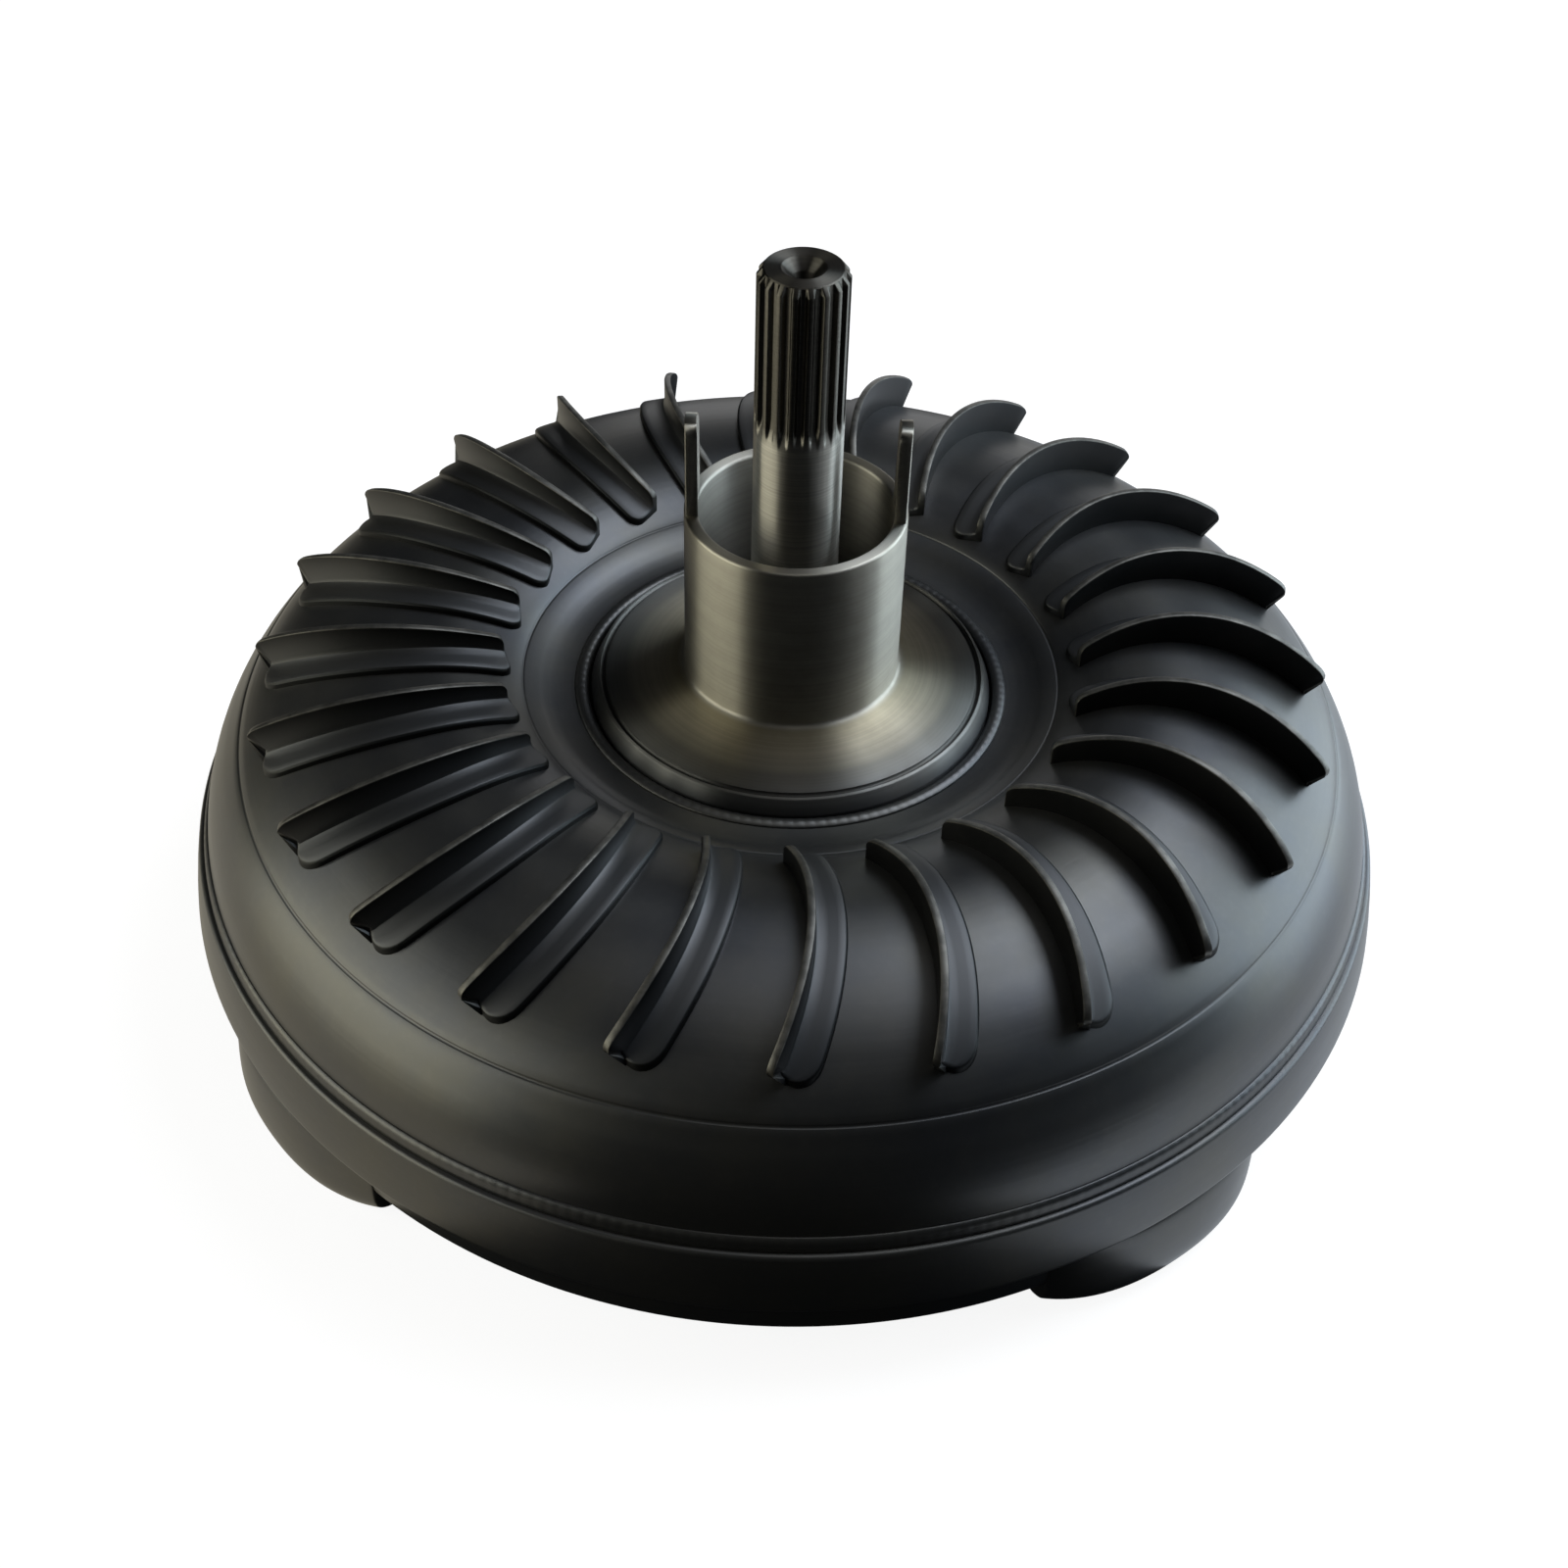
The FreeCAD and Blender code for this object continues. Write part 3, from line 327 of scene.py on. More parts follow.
def as_data(mesh, name):
    """A finished bmesh as mesh data, its faces turned outward."""
    bmesh.ops.recalc_face_normals(mesh, faces=mesh.faces)
    data = bpy.data.meshes.new(name)
    mesh.to_mesh(data)
    mesh.free()
    return data


def lug_mesh():
    """One pad as a skinned row of sections with rounded ends."""
    mesh = bmesh.new()
    turns = [-13.0, -12.7, -11.8, -10.0, -7.0, -3.5, 0.0, 3.5, 7.0, 10.0, 11.8, 12.7, 13.0]
    loops = []
    for turn in turns:
        a = math.radians(turn)
        loops.append([mesh.verts.new((r * MM * math.cos(a), r * MM * math.sin(a), z * MM))
                      for r, z in lug_section(turn)])
    skin(mesh, loops)
    mesh.faces.new(loops[0][::-1])
    mesh.faces.new(loops[-1])
    return as_data(mesh, "drive_lug")


def with_modifiers(data, *steps):
    """The mesh after a row of (kind, settings) modifiers, as plain mesh."""
    holder = bpy.data.objects.new("holder", data)
    bpy.context.scene.collection.objects.link(holder)
    for kind, settings in steps:
        modifier = holder.modifiers.new(kind.lower(), kind)
        for name, value in settings.items():
            setattr(modifier, name, value)
    holder.update_tag()
    result = bpy.data.meshes.new_from_object(
        holder.evaluated_get(bpy.context.evaluated_depsgraph_get()))
    bpy.data.objects.remove(holder)
    return result


def bolt_hole_cutter():
    """The drill's shape for one tapped hole: a plug with a countersunk mouth."""
    mesh = bmesh.new()
    steps = [(LUG_HOLE_R + 1.2, -1.0), (LUG_HOLE_R + 1.2, 0.0), (LUG_HOLE_R, 1.2),
             (LUG_HOLE_R, LUG_HOLE_DEPTH)]
    rings = []
    for radius, z in steps:
        rings.append([mesh.verts.new(((LUG_HOLE_PCD_R + radius * math.cos(a)) * MM,
                                      radius * math.sin(a) * MM, z * MM))
                      for a in [math.tau * i / 40 for i in range(40)]])
    skin(mesh, rings)
    mesh.faces.new(rings[0][::-1])
    mesh.faces.new(rings[-1])
    cutter = bpy.data.objects.new("bolt_hole_cutter", as_data(mesh, "bolt_hole"))
    bpy.context.scene.collection.objects.link(cutter)
    return cutter


def ringing_tree():
    """Geometry Nodes: copies one part round the Z axis, each a little out as fitted by hand."""
    tree, given = new_tree("set_round_the_axis", {
        "One part": "Geometry", "How many": "Int", "First at": "Float", "Swing": "Float",
        "Play": "Float", "Seed": "Int", "Finish": "Material"}, "Set")
    seats = add(tree, "GeometryNodePoints", {"Count": given["How many"]})
    index = add(tree, "GeometryNodeInputIndex")
    share = add(tree, "ShaderNodeMath", [index, given["How many"]], operation="DIVIDE")
    turn = add(tree, "ShaderNodeMath", [share, math.tau, given["First at"]],
               operation="MULTIPLY_ADD")
    low = add(tree, "ShaderNodeMath", [given["Play"], -1.0], operation="MULTIPLY")
    error = add(tree, "FunctionNodeRandomValue", {2: low, 3: given["Play"],
                                                  "Seed": given["Seed"]}, data_type="FLOAT")
    side = add(tree, "ShaderNodeMath", [turn], operation="SINE")
    swung = add(tree, "ShaderNodeMath", [side, given["Swing"], turn], operation="MULTIPLY_ADD")
    placed = add(tree, "ShaderNodeMath", [swung, error])
    spin = add(tree, "ShaderNodeCombineXYZ", {2: placed})
    copies = add(tree, "GeometryNodeInstanceOnPoints", {
        "Points": seats, "Instance": given["One part"], "Rotation": spin})
    real = add(tree, "GeometryNodeRealizeInstances", [copies])
    painted = add(tree, "GeometryNodeSetMaterial", {"Geometry": real,
                                                    "Material": given["Finish"]})
    add(tree, "NodeGroupOutput", [painted])
    return tree


RINGING = ringing_tree()


def smooth_by_angle(data, limit):
    """Shades a mesh smooth, with edges that fold more than the limit left sharp."""
    mesh = bmesh.new()
    mesh.from_mesh(data)
    for face in mesh.faces:
        face.smooth = True
    for edge in mesh.edges:
        edge.smooth = len(edge.link_faces) == 2 and edge.calc_face_angle() < math.radians(limit)
    mesh.to_mesh(data)
    mesh.free()
    return data


cutter = bolt_hole_cutter()
lug = with_modifiers(lug_mesh(), ("SUBSURF", {"levels": 2, "render_levels": 2}),
                     ("BOOLEAN", {"operation": "DIFFERENCE", "object": cutter,
                                  "solver": "EXACT"}))
bpy.data.objects.remove(cutter)
FORGED_BLACK = satin_black_case("satin_black_enamel_on_forging", 0.02)
made_plain("drive_lug_forgings", smooth_by_angle(lug, 35), RINGING, {
    "How many": LUG_COUNT, "First at": math.radians(LUG_PHASE), "Swing": 0.0, "Play": 0.0,
    "Seed": 1, "Finish": FORGED_BLACK}, "housing", ["drive_lugs"])

# ------------------------------------------------------------------ turbine
# The driven wheel inside: a pressed steel shell with 29 tabbed blades and a core ring, riveted
# to a turned hub. It is oiled sheet, never painted, and only its shaft shows from outside.


def sheet_steel(name, colour, roughness, cloud_size):
    """Bare cold-rolled sheet or stamped steel under an oil film.

    Rolling gives it a fine even grain, drawn here at 1 mm, and the oil leaves soft clouds.
    """
    material, tree = new_material(name)
    place = add(tree, "ShaderNodeTexCoord").outputs["Object"]
    cloud = add(tree, "ShaderNodeTexNoise", {"Vector": place, "Scale": 1 / (cloud_size * MM),
                                             "Detail": 4.0})
    grain = add(tree, "ShaderNodeTexNoise", {"Vector": place, "Scale": 900.0, "Detail": 2.0})
    base = linear(colour)
    tone = add(tree, "ShaderNodeMix", {
        "Factor": add(tree, "ShaderNodeMapRange", [cloud, 0.35, 0.7, 0.0, 1.0]), "A": base,
        "B": (base[0] * 0.72, base[1] * 0.69, base[2] * 0.64, 1.0)}, data_type="RGBA")
    rough = add(tree, "ShaderNodeMapRange", [grain, 0.3, 0.7, roughness - 0.05,
                                             roughness + 0.05])
    bump = add(tree, "ShaderNodeBump", {"Height": grain, "Strength": 0.15,
                                        "Distance": 0.02 * MM})
    surface = add(tree, "ShaderNodeBsdfPrincipled", {
        "Base Color": tone, "Metallic": 1.0, "Roughness": rough, "Normal": bump})
    add(tree, "ShaderNodeOutputMaterial", [surface])
    return material


def finish_nodes(material, *names):
    """Gives CAD nodes that stay in the model their real finish."""
    for name in names:
        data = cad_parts[name].data
        data.materials.clear()
        data.materials.append(material)


finish_nodes(sheet_steel("oiled_pressed_sheet_steel", "#8f8f8d", 0.38, 30),
             "turbine_shell", "turbine_blades", "turbine_core_ring",
             "impeller_blades", "impeller_core_ring")
finish_nodes(sheet_steel("machined_hub_steel", "#9c9a95", 0.3, 18), "turbine_hub")
finish_nodes(sheet_steel("cold_headed_rivet_steel", "#a3a19c", 0.34, 6), "turbine_rivets")
finish_nodes(sheet_steel("blued_spring_steel", "#4f545e", 0.33, 9),
             "shaft_snap_ring", "stator_snap_rings", "clutch_springs")

# ------------------------------------------------------------------ stator and bearings
# A die-cast aluminium wheel on a roller one-way clutch, between two needle bearings with
# phosphated cages. A grooved bronze washer carries the turbine hub on the cover.


def cast_metal(name, colour, roughness, pit):
    """Sand-fine skin of a die casting: matt, with shallow pits about a millimetre apart."""
    material, tree = new_material(name)
    place = add(tree, "ShaderNodeTexCoord").outputs["Object"]
    pits = add(tree, "ShaderNodeTexVoronoi", {"Vector": place, "Scale": 1 / (pit * MM)})
    mottle = add(tree, "ShaderNodeTexNoise", {"Vector": place, "Scale": 60.0, "Detail": 5.0})
    base = linear(colour)
    tone = add(tree, "ShaderNodeMix", {
        "Factor": add(tree, "ShaderNodeMapRange", [mottle, 0.35, 0.7, 0.0, 1.0]), "A": base,
        "B": (base[0] * 0.8, base[1] * 0.8, base[2] * 0.8, 1.0)}, data_type="RGBA")
    rough = add(tree, "ShaderNodeMapRange", [mottle, 0.3, 0.7, roughness - 0.05,
                                             roughness + 0.07])
    bump = add(tree, "ShaderNodeBump", {"Height": pits, "Strength": 0.2, "Distance": 0.05 * MM})
    surface = add(tree, "ShaderNodeBsdfPrincipled", {
        "Base Color": tone, "Metallic": 1.0, "Roughness": rough, "Normal": bump})
    add(tree, "ShaderNodeOutputMaterial", [surface])
    return material


finish_nodes(cast_metal("die_cast_aluminium", "#c2c4c6", 0.45, 1.2), "stator_wheel")
finish_nodes(cast_metal("sintered_bearing_bronze", "#b08a55", 0.4, 0.8), "cover_thrust_washer",
             "clutch_end_plate_pump_side", "clutch_end_plate_turbine_side")
finish_nodes(turned_bright_steel("hardened_ground_race_steel", "#b9b8b5", 0.22, 0.3, 0.01, 0.2),
             "clutch_inner_race", "clutch_outer_race", "pump_side_hub_race",
             "turbine_side_hub_race", "pump_side_stator_race", "turbine_side_stator_race")
finish_nodes(sheet_steel("lapped_roller_steel", "#c0c0bf", 0.18, 12),
             "clutch_rollers", "pump_side_needles", "turbine_side_needles")
finish_nodes(sheet_steel("phosphated_cage_steel", "#6f6b64", 0.5, 8),
             "pump_side_needle_cage", "turbine_side_needle_cage")

# ------------------------------------------------------------------ pump shell
# The gearbox side of the case: a dome pressed from 5 mm plate and turned outside, with a fine
# tool line just outside the fins and another just inside them, then painted satin black.

CREST_R, CREST_Z = 99.0, 91.5
RISE_ANGLE, RISE_RADIUS, FALL_ANGLE, FALL_RADIUS, SHOULDER_RADIUS = 27.0, 52.9, 33.5, 72.5, 43.8
SHELL_WALL, VALLEY_R, VALLEY_Z, HUB_FLANGE_R = 5.0, 63.0, 79.6, 56.4
RISE_CENTRE = (CREST_R, CREST_Z - RISE_RADIUS)
FALL_CENTRE = (CREST_R, CREST_Z - FALL_RADIUS)
SHOULDER_CENTRE = (
    FALL_CENTRE[0] + (FALL_RADIUS - SHOULDER_RADIUS) * math.sin(math.radians(FALL_ANGLE)),
    FALL_CENTRE[1] + (FALL_RADIUS - SHOULDER_RADIUS) * math.cos(math.radians(FALL_ANGLE)))
FALL_END_R = FALL_CENTRE[0] + FALL_RADIUS * math.sin(math.radians(FALL_ANGLE))
RISE_START_R = RISE_CENTRE[0] - RISE_RADIUS * math.sin(math.radians(RISE_ANGLE))
TOOL_LINES = (147.0, 71.5)
LINE_WIDTH, LINE_DEPTH = 0.7, 0.22


def dome_z(radius):
    """Height in mm of the dome's outer face at a distance from the axis."""
    if radius < RISE_START_R:
        return VALLEY_Z + (radius - VALLEY_R) * math.tan(math.radians(RISE_ANGLE))
    centre, size = RISE_CENTRE, RISE_RADIUS
    if radius > FALL_END_R:
        centre, size = SHOULDER_CENTRE, SHOULDER_RADIUS
    elif radius > CREST_R:
        centre, size = FALL_CENTRE, FALL_RADIUS
    return centre[1] + math.sqrt(max(0.0, size ** 2 - (radius - centre[0]) ** 2))


def dome_run(offset):
    """Section points of the dome from valley to skirt, moved out by an offset."""
    lift = offset / math.cos(math.radians(RISE_ANGLE))
    run = [(VALLEY_R, VALLEY_Z + lift), (67.0, dome_z(67.0) + lift)]
    run += arc(RISE_CENTRE, RISE_RADIUS + offset, -RISE_ANGLE, 0, 3)[:-1]
    run += arc(FALL_CENTRE, FALL_RADIUS + offset, 0, FALL_ANGLE, 2.5)[:-1]
    return run + arc(SHOULDER_CENTRE, SHOULDER_RADIUS + offset, FALL_ANGLE, 90, 3.5)


def with_tool_line(run, radius):
    """Cuts a fine round-bottomed line into a run of section points that passes the radius."""
    half = LINE_WIDTH / 2
    slope = (dome_z(radius + half) - dome_z(radius - half)) / LINE_WIDTH
    square = Vector((-slope, 1)).normalized()
    groove = []
    for share, depth in ((-1.15, 0), (-1, 0.12), (-0.6, 0.75), (0, 1), (0.6, 0.75), (1, 0.12),
                         (1.15, 0)):
        r = radius + half * share
        groove.append((r - square.x * depth * LINE_DEPTH, dome_z(r) - square.y * depth * LINE_DEPTH))
    kept_in = [p for p in run if p[0] < radius - LINE_WIDTH]
    kept_out = [p for p in run[len(kept_in):] if p[0] > radius + LINE_WIDTH or p[1] < 60]
    return kept_in + groove + kept_out


outer_run = dome_run(0.0)
for line_r in TOOL_LINES:
    outer_run = with_tool_line(outer_run, line_r)
shell_section = ([(HUB_FLANGE_R + 0.05, VALLEY_Z)] + outer_run
                 + [(SKIRT_R, 36.0), (SKIRT_R, SKIRT_LOW_Z + 0.4),
                    (SKIRT_R - SHELL_WALL, SKIRT_LOW_Z + 0.4)]
                 + dome_run(-SHELL_WALL)[::-1] + [(HUB_FLANGE_R + 0.05, 74.6)])
turned_part("pump_shell_dome", shell_section, 320, CASE_BLACK,
            "housing", ["impeller_shell"], 30)

# ------------------------------------------------------------------ cooling fins
# 24 fins folded from 2 mm strip into an L: a curved upright web and a flat foot that is welded to
#                                           the dome. They are painted with it, and their edges are
#                                           rubbed to the metal; the webs' top edges are also lighter
#                                           as a painted highlight, the webs are painted darker than
#                                           the feet as shade, and the seams along the feet are
#                                           painted near black as shadow.

FIN_COUNT, FIN_PHASE, FIN_SWING = 24, -89.7, 0.9
FIN_PLAN = ((76.6, 0.9), (108.0, 4.1), (142.3, 0.0))
FIN_TOP = ((78.2, 93.6), (108.0, 100.4), (140.3, 89.4))
FIN_WEB, FIN_FOOT_WIDTH, FIN_FOOT_THICKNESS = 2.0, 7.6, 2.0
FIN_CORNER, FIN_FOOT_ROUND, FIN_FOOT_OUTER_ROUND, FIN_FOOT_OUTER_R = 2.0, 3.2, 6.0, 139.0


def circle_through(a, b, c):
    """Centre and radius of the circle through three plan or section points."""
    ab, ac = b - a, c - a
    turn = 2 * ab.cross(ac)
    centre = a + Vector((ac.y * ab.length_squared - ab.y * ac.length_squared,
                         ab.x * ac.length_squared - ac.x * ab.length_squared)) / turn
    return centre, (a - centre).length


fin_points = [Vector((r * math.cos(math.radians(a)), r * math.sin(math.radians(a))))
              for r, a in FIN_PLAN]
fin_centre, fin_radius = circle_through(*fin_points)
top_centre, top_radius = circle_through(*[Vector(p) for p in FIN_TOP])


def fin_top_z(radius):
    """Height of the web's upper edge, a shallow arc over the dome."""
    return top_centre.y + math.sqrt(top_radius ** 2 - (radius - top_centre.x) ** 2)


# the foot stops short of the web, whose end leans out over it
foot_end = Vector((FIN_FOOT_OUTER_R, 0))
opening = math.acos((fin_centre.length_squared + FIN_FOOT_OUTER_R ** 2 - fin_radius ** 2)
                    / (2 * fin_centre.length * FIN_FOOT_OUTER_R))
foot_end.rotate(Matrix.Rotation(math.atan2(fin_centre.y, fin_centre.x) + opening, 2))
FIN_START = math.atan2(*(fin_points[0] - fin_centre).yx)
FIN_LENGTH = fin_radius * (fin_points[0] - fin_centre).angle(foot_end - fin_centre)
FIN_LEAN, FIN_LEAN_RUN = 0.46, 12.0


def fin_section(at, inset):
    """L section at a distance along the fin, as (x, y, z) points in mm."""
    near_end = min(at, FIN_LENGTH - at)
    lean = FIN_LEAN * max(0.0, 1 - (FIN_LENGTH - at) / FIN_LEAN_RUN)

    def rounding(size, at_end=near_end):
        short = max(0.0, size - at_end)
        return size - math.sqrt(size ** 2 - short ** 2)

    def place(offset, forward=0.0):
        angle = FIN_START - (at + forward) / fin_radius
        return fin_centre + Vector((math.cos(angle), math.sin(angle))) * (fin_radius + offset)

    half = FIN_WEB / 2 - inset
    width = FIN_WEB / 2 + FIN_FOOT_WIDTH - inset - max(
        rounding(FIN_FOOT_ROUND, at), rounding(FIN_FOOT_OUTER_ROUND, FIN_LENGTH - at))
    foot = FIN_FOOT_THICKNESS - inset
    here = place(0).length
    forward = lean * (fin_top_z(here) - dome_z(here) - rounding(FIN_CORNER))
    top = fin_top_z(place(0, forward).length) - rounding(FIN_CORNER) - inset

    def over_dome(offset, height):
        spot = place(offset)
        return spot.x, spot.y, dome_z(spot.length) + height

    def on_web(offset, z):
        spot = place(offset, forward)
        return spot.x, spot.y, z

    section = [over_dome(-half, -0.6), over_dome(-half, 0.8), on_web(-half, top - 0.45),
               on_web(-half + 0.14, top - 0.13), on_web(-half + 0.45, top),
               on_web(half - 0.45, top), on_web(half - 0.14, top - 0.13),
               on_web(half, top - 0.45), over_dome(half, foot + 1.3),
               over_dome(half + 0.35, foot + 0.42), over_dome(half + 1.2, foot)]
    for share in (0.35, 0.7):
        section.append(over_dome(half + 1.2 + share * (width - half - 1.9), foot))
    return section + [over_dome(width - 0.7, foot), over_dome(width - 0.35, foot - 0.15),
                      over_dome(width, foot - 0.6), over_dome(width, -0.6)]


def fin_mesh():
    """One fin, its outer end on the +X side, with masks for its rubbed top edges that also carry a
    painted highlight, its painted web shade and its painted seam shadow.
    """
    ends = [(0.0, 0.35), (0.12, 0.12), (0.35, 0.0), (0.8, 0.0), (1.5, 0.0), (2.3, 0.0),
            (3.2, 0.0), (4.5, 0.0), (6.0, 0.0)]
    middle = [(6.0 + (FIN_LENGTH - 12.0) * i / 26, 0.0) for i in range(1, 26)]
    stations = ends + middle + [(FIN_LENGTH - at, inset) for at, inset in ends[::-1]]
    mesh = bmesh.new()
    wear_and_highlight = mesh.verts.layers.float.new("edge_wear_and_painted_highlight")
    seam_shadow = mesh.verts.layers.float.new("painted_seam_shadow")
    web_shade = mesh.verts.layers.float.new("painted_web_shade")
    loops = []
    for at, inset in stations:
        loop = [mesh.verts.new([c * MM for c in p]) for p in fin_section(at, inset)]
        for k, vert in enumerate(loop):
            # first mask: the web's top edge and rounded ends, rubbed paint that is also a painted
            # highlight; second: the foot's outer edge and the web's base, painted dark as shadow;
            # third: the whole web, painted darker as shade
            vert[wear_and_highlight] = 1.0 if k in (3, 4, 5, 6) or (inset > 0.1 and k < 8) else 0.0
            vert[seam_shadow] = 1.0 if k in (0, 14, 15, 16) else 0.0
            vert[web_shade] = 1.0 if k < 8 else 0.0
        loops.append(loop)
    skin(mesh, loops)
    caps = [mesh.faces.new(loops[0][::-1]), mesh.faces.new(loops[-1])]
    bmesh.ops.triangulate(mesh, faces=caps)
    return smooth_by_angle(as_data(mesh, "cooling_fin"), 32)


def black_fin_with_wear_and_painted_light(name):
    """The case's satin black on sheared strip, rubbed thin on the webs' edges and lighter there as a
    painted highlight; the webs are painted darker than the feet as shade, and the seams are painted
    near black as shadow.
    """
    material, tree = new_material(name)
    place = add(tree, "ShaderNodeTexCoord").outputs["Object"]
    edge = add(tree, "ShaderNodeAttribute", attribute_name="edge_wear_and_painted_highlight").outputs["Fac"]
    seam_shadow = add(tree, "ShaderNodeAttribute", attribute_name="painted_seam_shadow").outputs["Fac"]
    web = add(tree, "ShaderNodeAttribute", attribute_name="painted_web_shade").outputs["Fac"]
    cloud = add(tree, "ShaderNodeTexNoise", {"Vector": place, "Scale": 30.0, "Detail": 4.0})
    chips = add(tree, "ShaderNodeTexNoise", {"Vector": place, "Scale": 200.0, "Detail": 4.0,
                                             "Roughness": 0.6})
    # the webs painted near black as shade, the feet in the case's own tone; both are one paint
    tone = add(tree, "ShaderNodeMix", {"Factor": web, "A": linear("#4c4d4e"),
                                       "B": linear("#191a1b")}, data_type="RGBA")
    clouded = add(tree, "ShaderNodeMix", {
        "Factor": add(tree, "ShaderNodeMapRange", [cloud, 0.35, 0.68, 0.0, 0.25]),
        "A": tone, "B": linear("#4a4846")}, data_type="RGBA")
    chipped = add(tree, "ShaderNodeMapRange", [chips, 0.40, 0.62, 0.35, 0.7])
    # rubbed paint on the webs' top edges and ends; its lightness is also a painted highlight
    wear_and_highlight_patch = add(tree, "ShaderNodeMath", [chipped, edge], operation="MULTIPLY")
    worn_and_highlit = add(tree, "ShaderNodeMix", {"Factor": wear_and_highlight_patch, "A": clouded, "B": linear("#77756f")},
               data_type="RGBA")
    # the seam along the foot's edge and the web's base painted near black as shadow
    with_seam_shadow = add(tree, "ShaderNodeMix", {"Factor": seam_shadow, "A": worn_and_highlit, "B": linear("#242525")},
                data_type="RGBA")
    rough = add(tree, "ShaderNodeMapRange", [cloud, 0.3, 0.7, 0.40, 0.47])
    bump = add(tree, "ShaderNodeBump", {"Height": chips, "Strength": 0.12,
                                        "Distance": 0.05 * MM})
    surface = add(tree, "ShaderNodeBsdfPrincipled", {
        "Base Color": with_seam_shadow, "Metallic": 0.85, "Roughness": rough, "Normal": bump})
    add(tree, "ShaderNodeOutputMaterial", [surface])
    return material


FIN_BLACK = black_fin_with_wear_and_painted_light("satin_black_enamel_on_strip_steel")
made_plain("cooling_fin_set", fin_mesh(), RINGING, {
    "How many": FIN_COUNT, "First at": math.radians(FIN_PHASE),
    "Swing": math.radians(FIN_SWING), "Play": math.radians(0.12), "Seed": 7,
    "Finish": FIN_BLACK}, "housing", ["cooling_fins"])

# ------------------------------------------------------------------ pump drive hub
# A forged steel hub, turned all over after it is welded in: a coned disc with one groove and
# a bevelled rim, and the ground tube with two tangs that drive the oil pump.

TUBE_R, TUBE_BORE_R, TUBE_TOP_Z = 28.4, 24.9, 136.5
HUB_UNDERSIDE_Z, HUB_FACE_Z, HUB_SEAT_Z = 74.6, 87.8, 77.2
HUB_RIM_R, HUB_RIM_Z, HUB_STEP_R, HUB_STEP_Z = 51.8, 83.6, 53.5, 79.8
HUB_FILLET, HUB_GROOVE_R, GROOVE_RADIUS = 1.2, 50.2, 0.8
HUB_FALL = (HUB_FACE_Z - HUB_RIM_Z) / (HUB_RIM_R - TUBE_R - HUB_FILLET)


def hub_face_z(radius):
    """Height of the coned face round the tube."""
    return HUB_RIM_Z + HUB_FALL * (HUB_RIM_R - radius)


groove = [(r, z + hub_face_z(HUB_GROOVE_R)) for r, z in
          arc((HUB_GROOVE_R, 0.0), GROOVE_RADIUS, 275, 92, 19)]
fillet = arc((TUBE_R + HUB_FILLET, HUB_FACE_Z + HUB_FILLET), HUB_FILLET, 270, 180, 15)
hub_section = softened([
    (TUBE_BORE_R, HUB_UNDERSIDE_Z), (TUBE_BORE_R, 100.0), (TUBE_BORE_R, TUBE_TOP_Z, 1.0),
    (TUBE_R, TUBE_TOP_Z, 0.8), (TUBE_R, 120.0), (TUBE_R, 100.0)] + fillet
    + [(38.0, hub_face_z(38.0)), (44.0, hub_face_z(44.0)),
       (HUB_GROOVE_R - 1.2, hub_face_z(HUB_GROOVE_R - 1.2))] + groove
    + [(HUB_RIM_R - 0.1, HUB_RIM_Z, 0.4), (HUB_STEP_R, HUB_STEP_Z, 0.8),
       (HUB_STEP_R, HUB_SEAT_Z), (HUB_FLANGE_R - 0.05, HUB_SEAT_Z),
       (HUB_FLANGE_R - 0.05, HUB_UNDERSIDE_Z)])


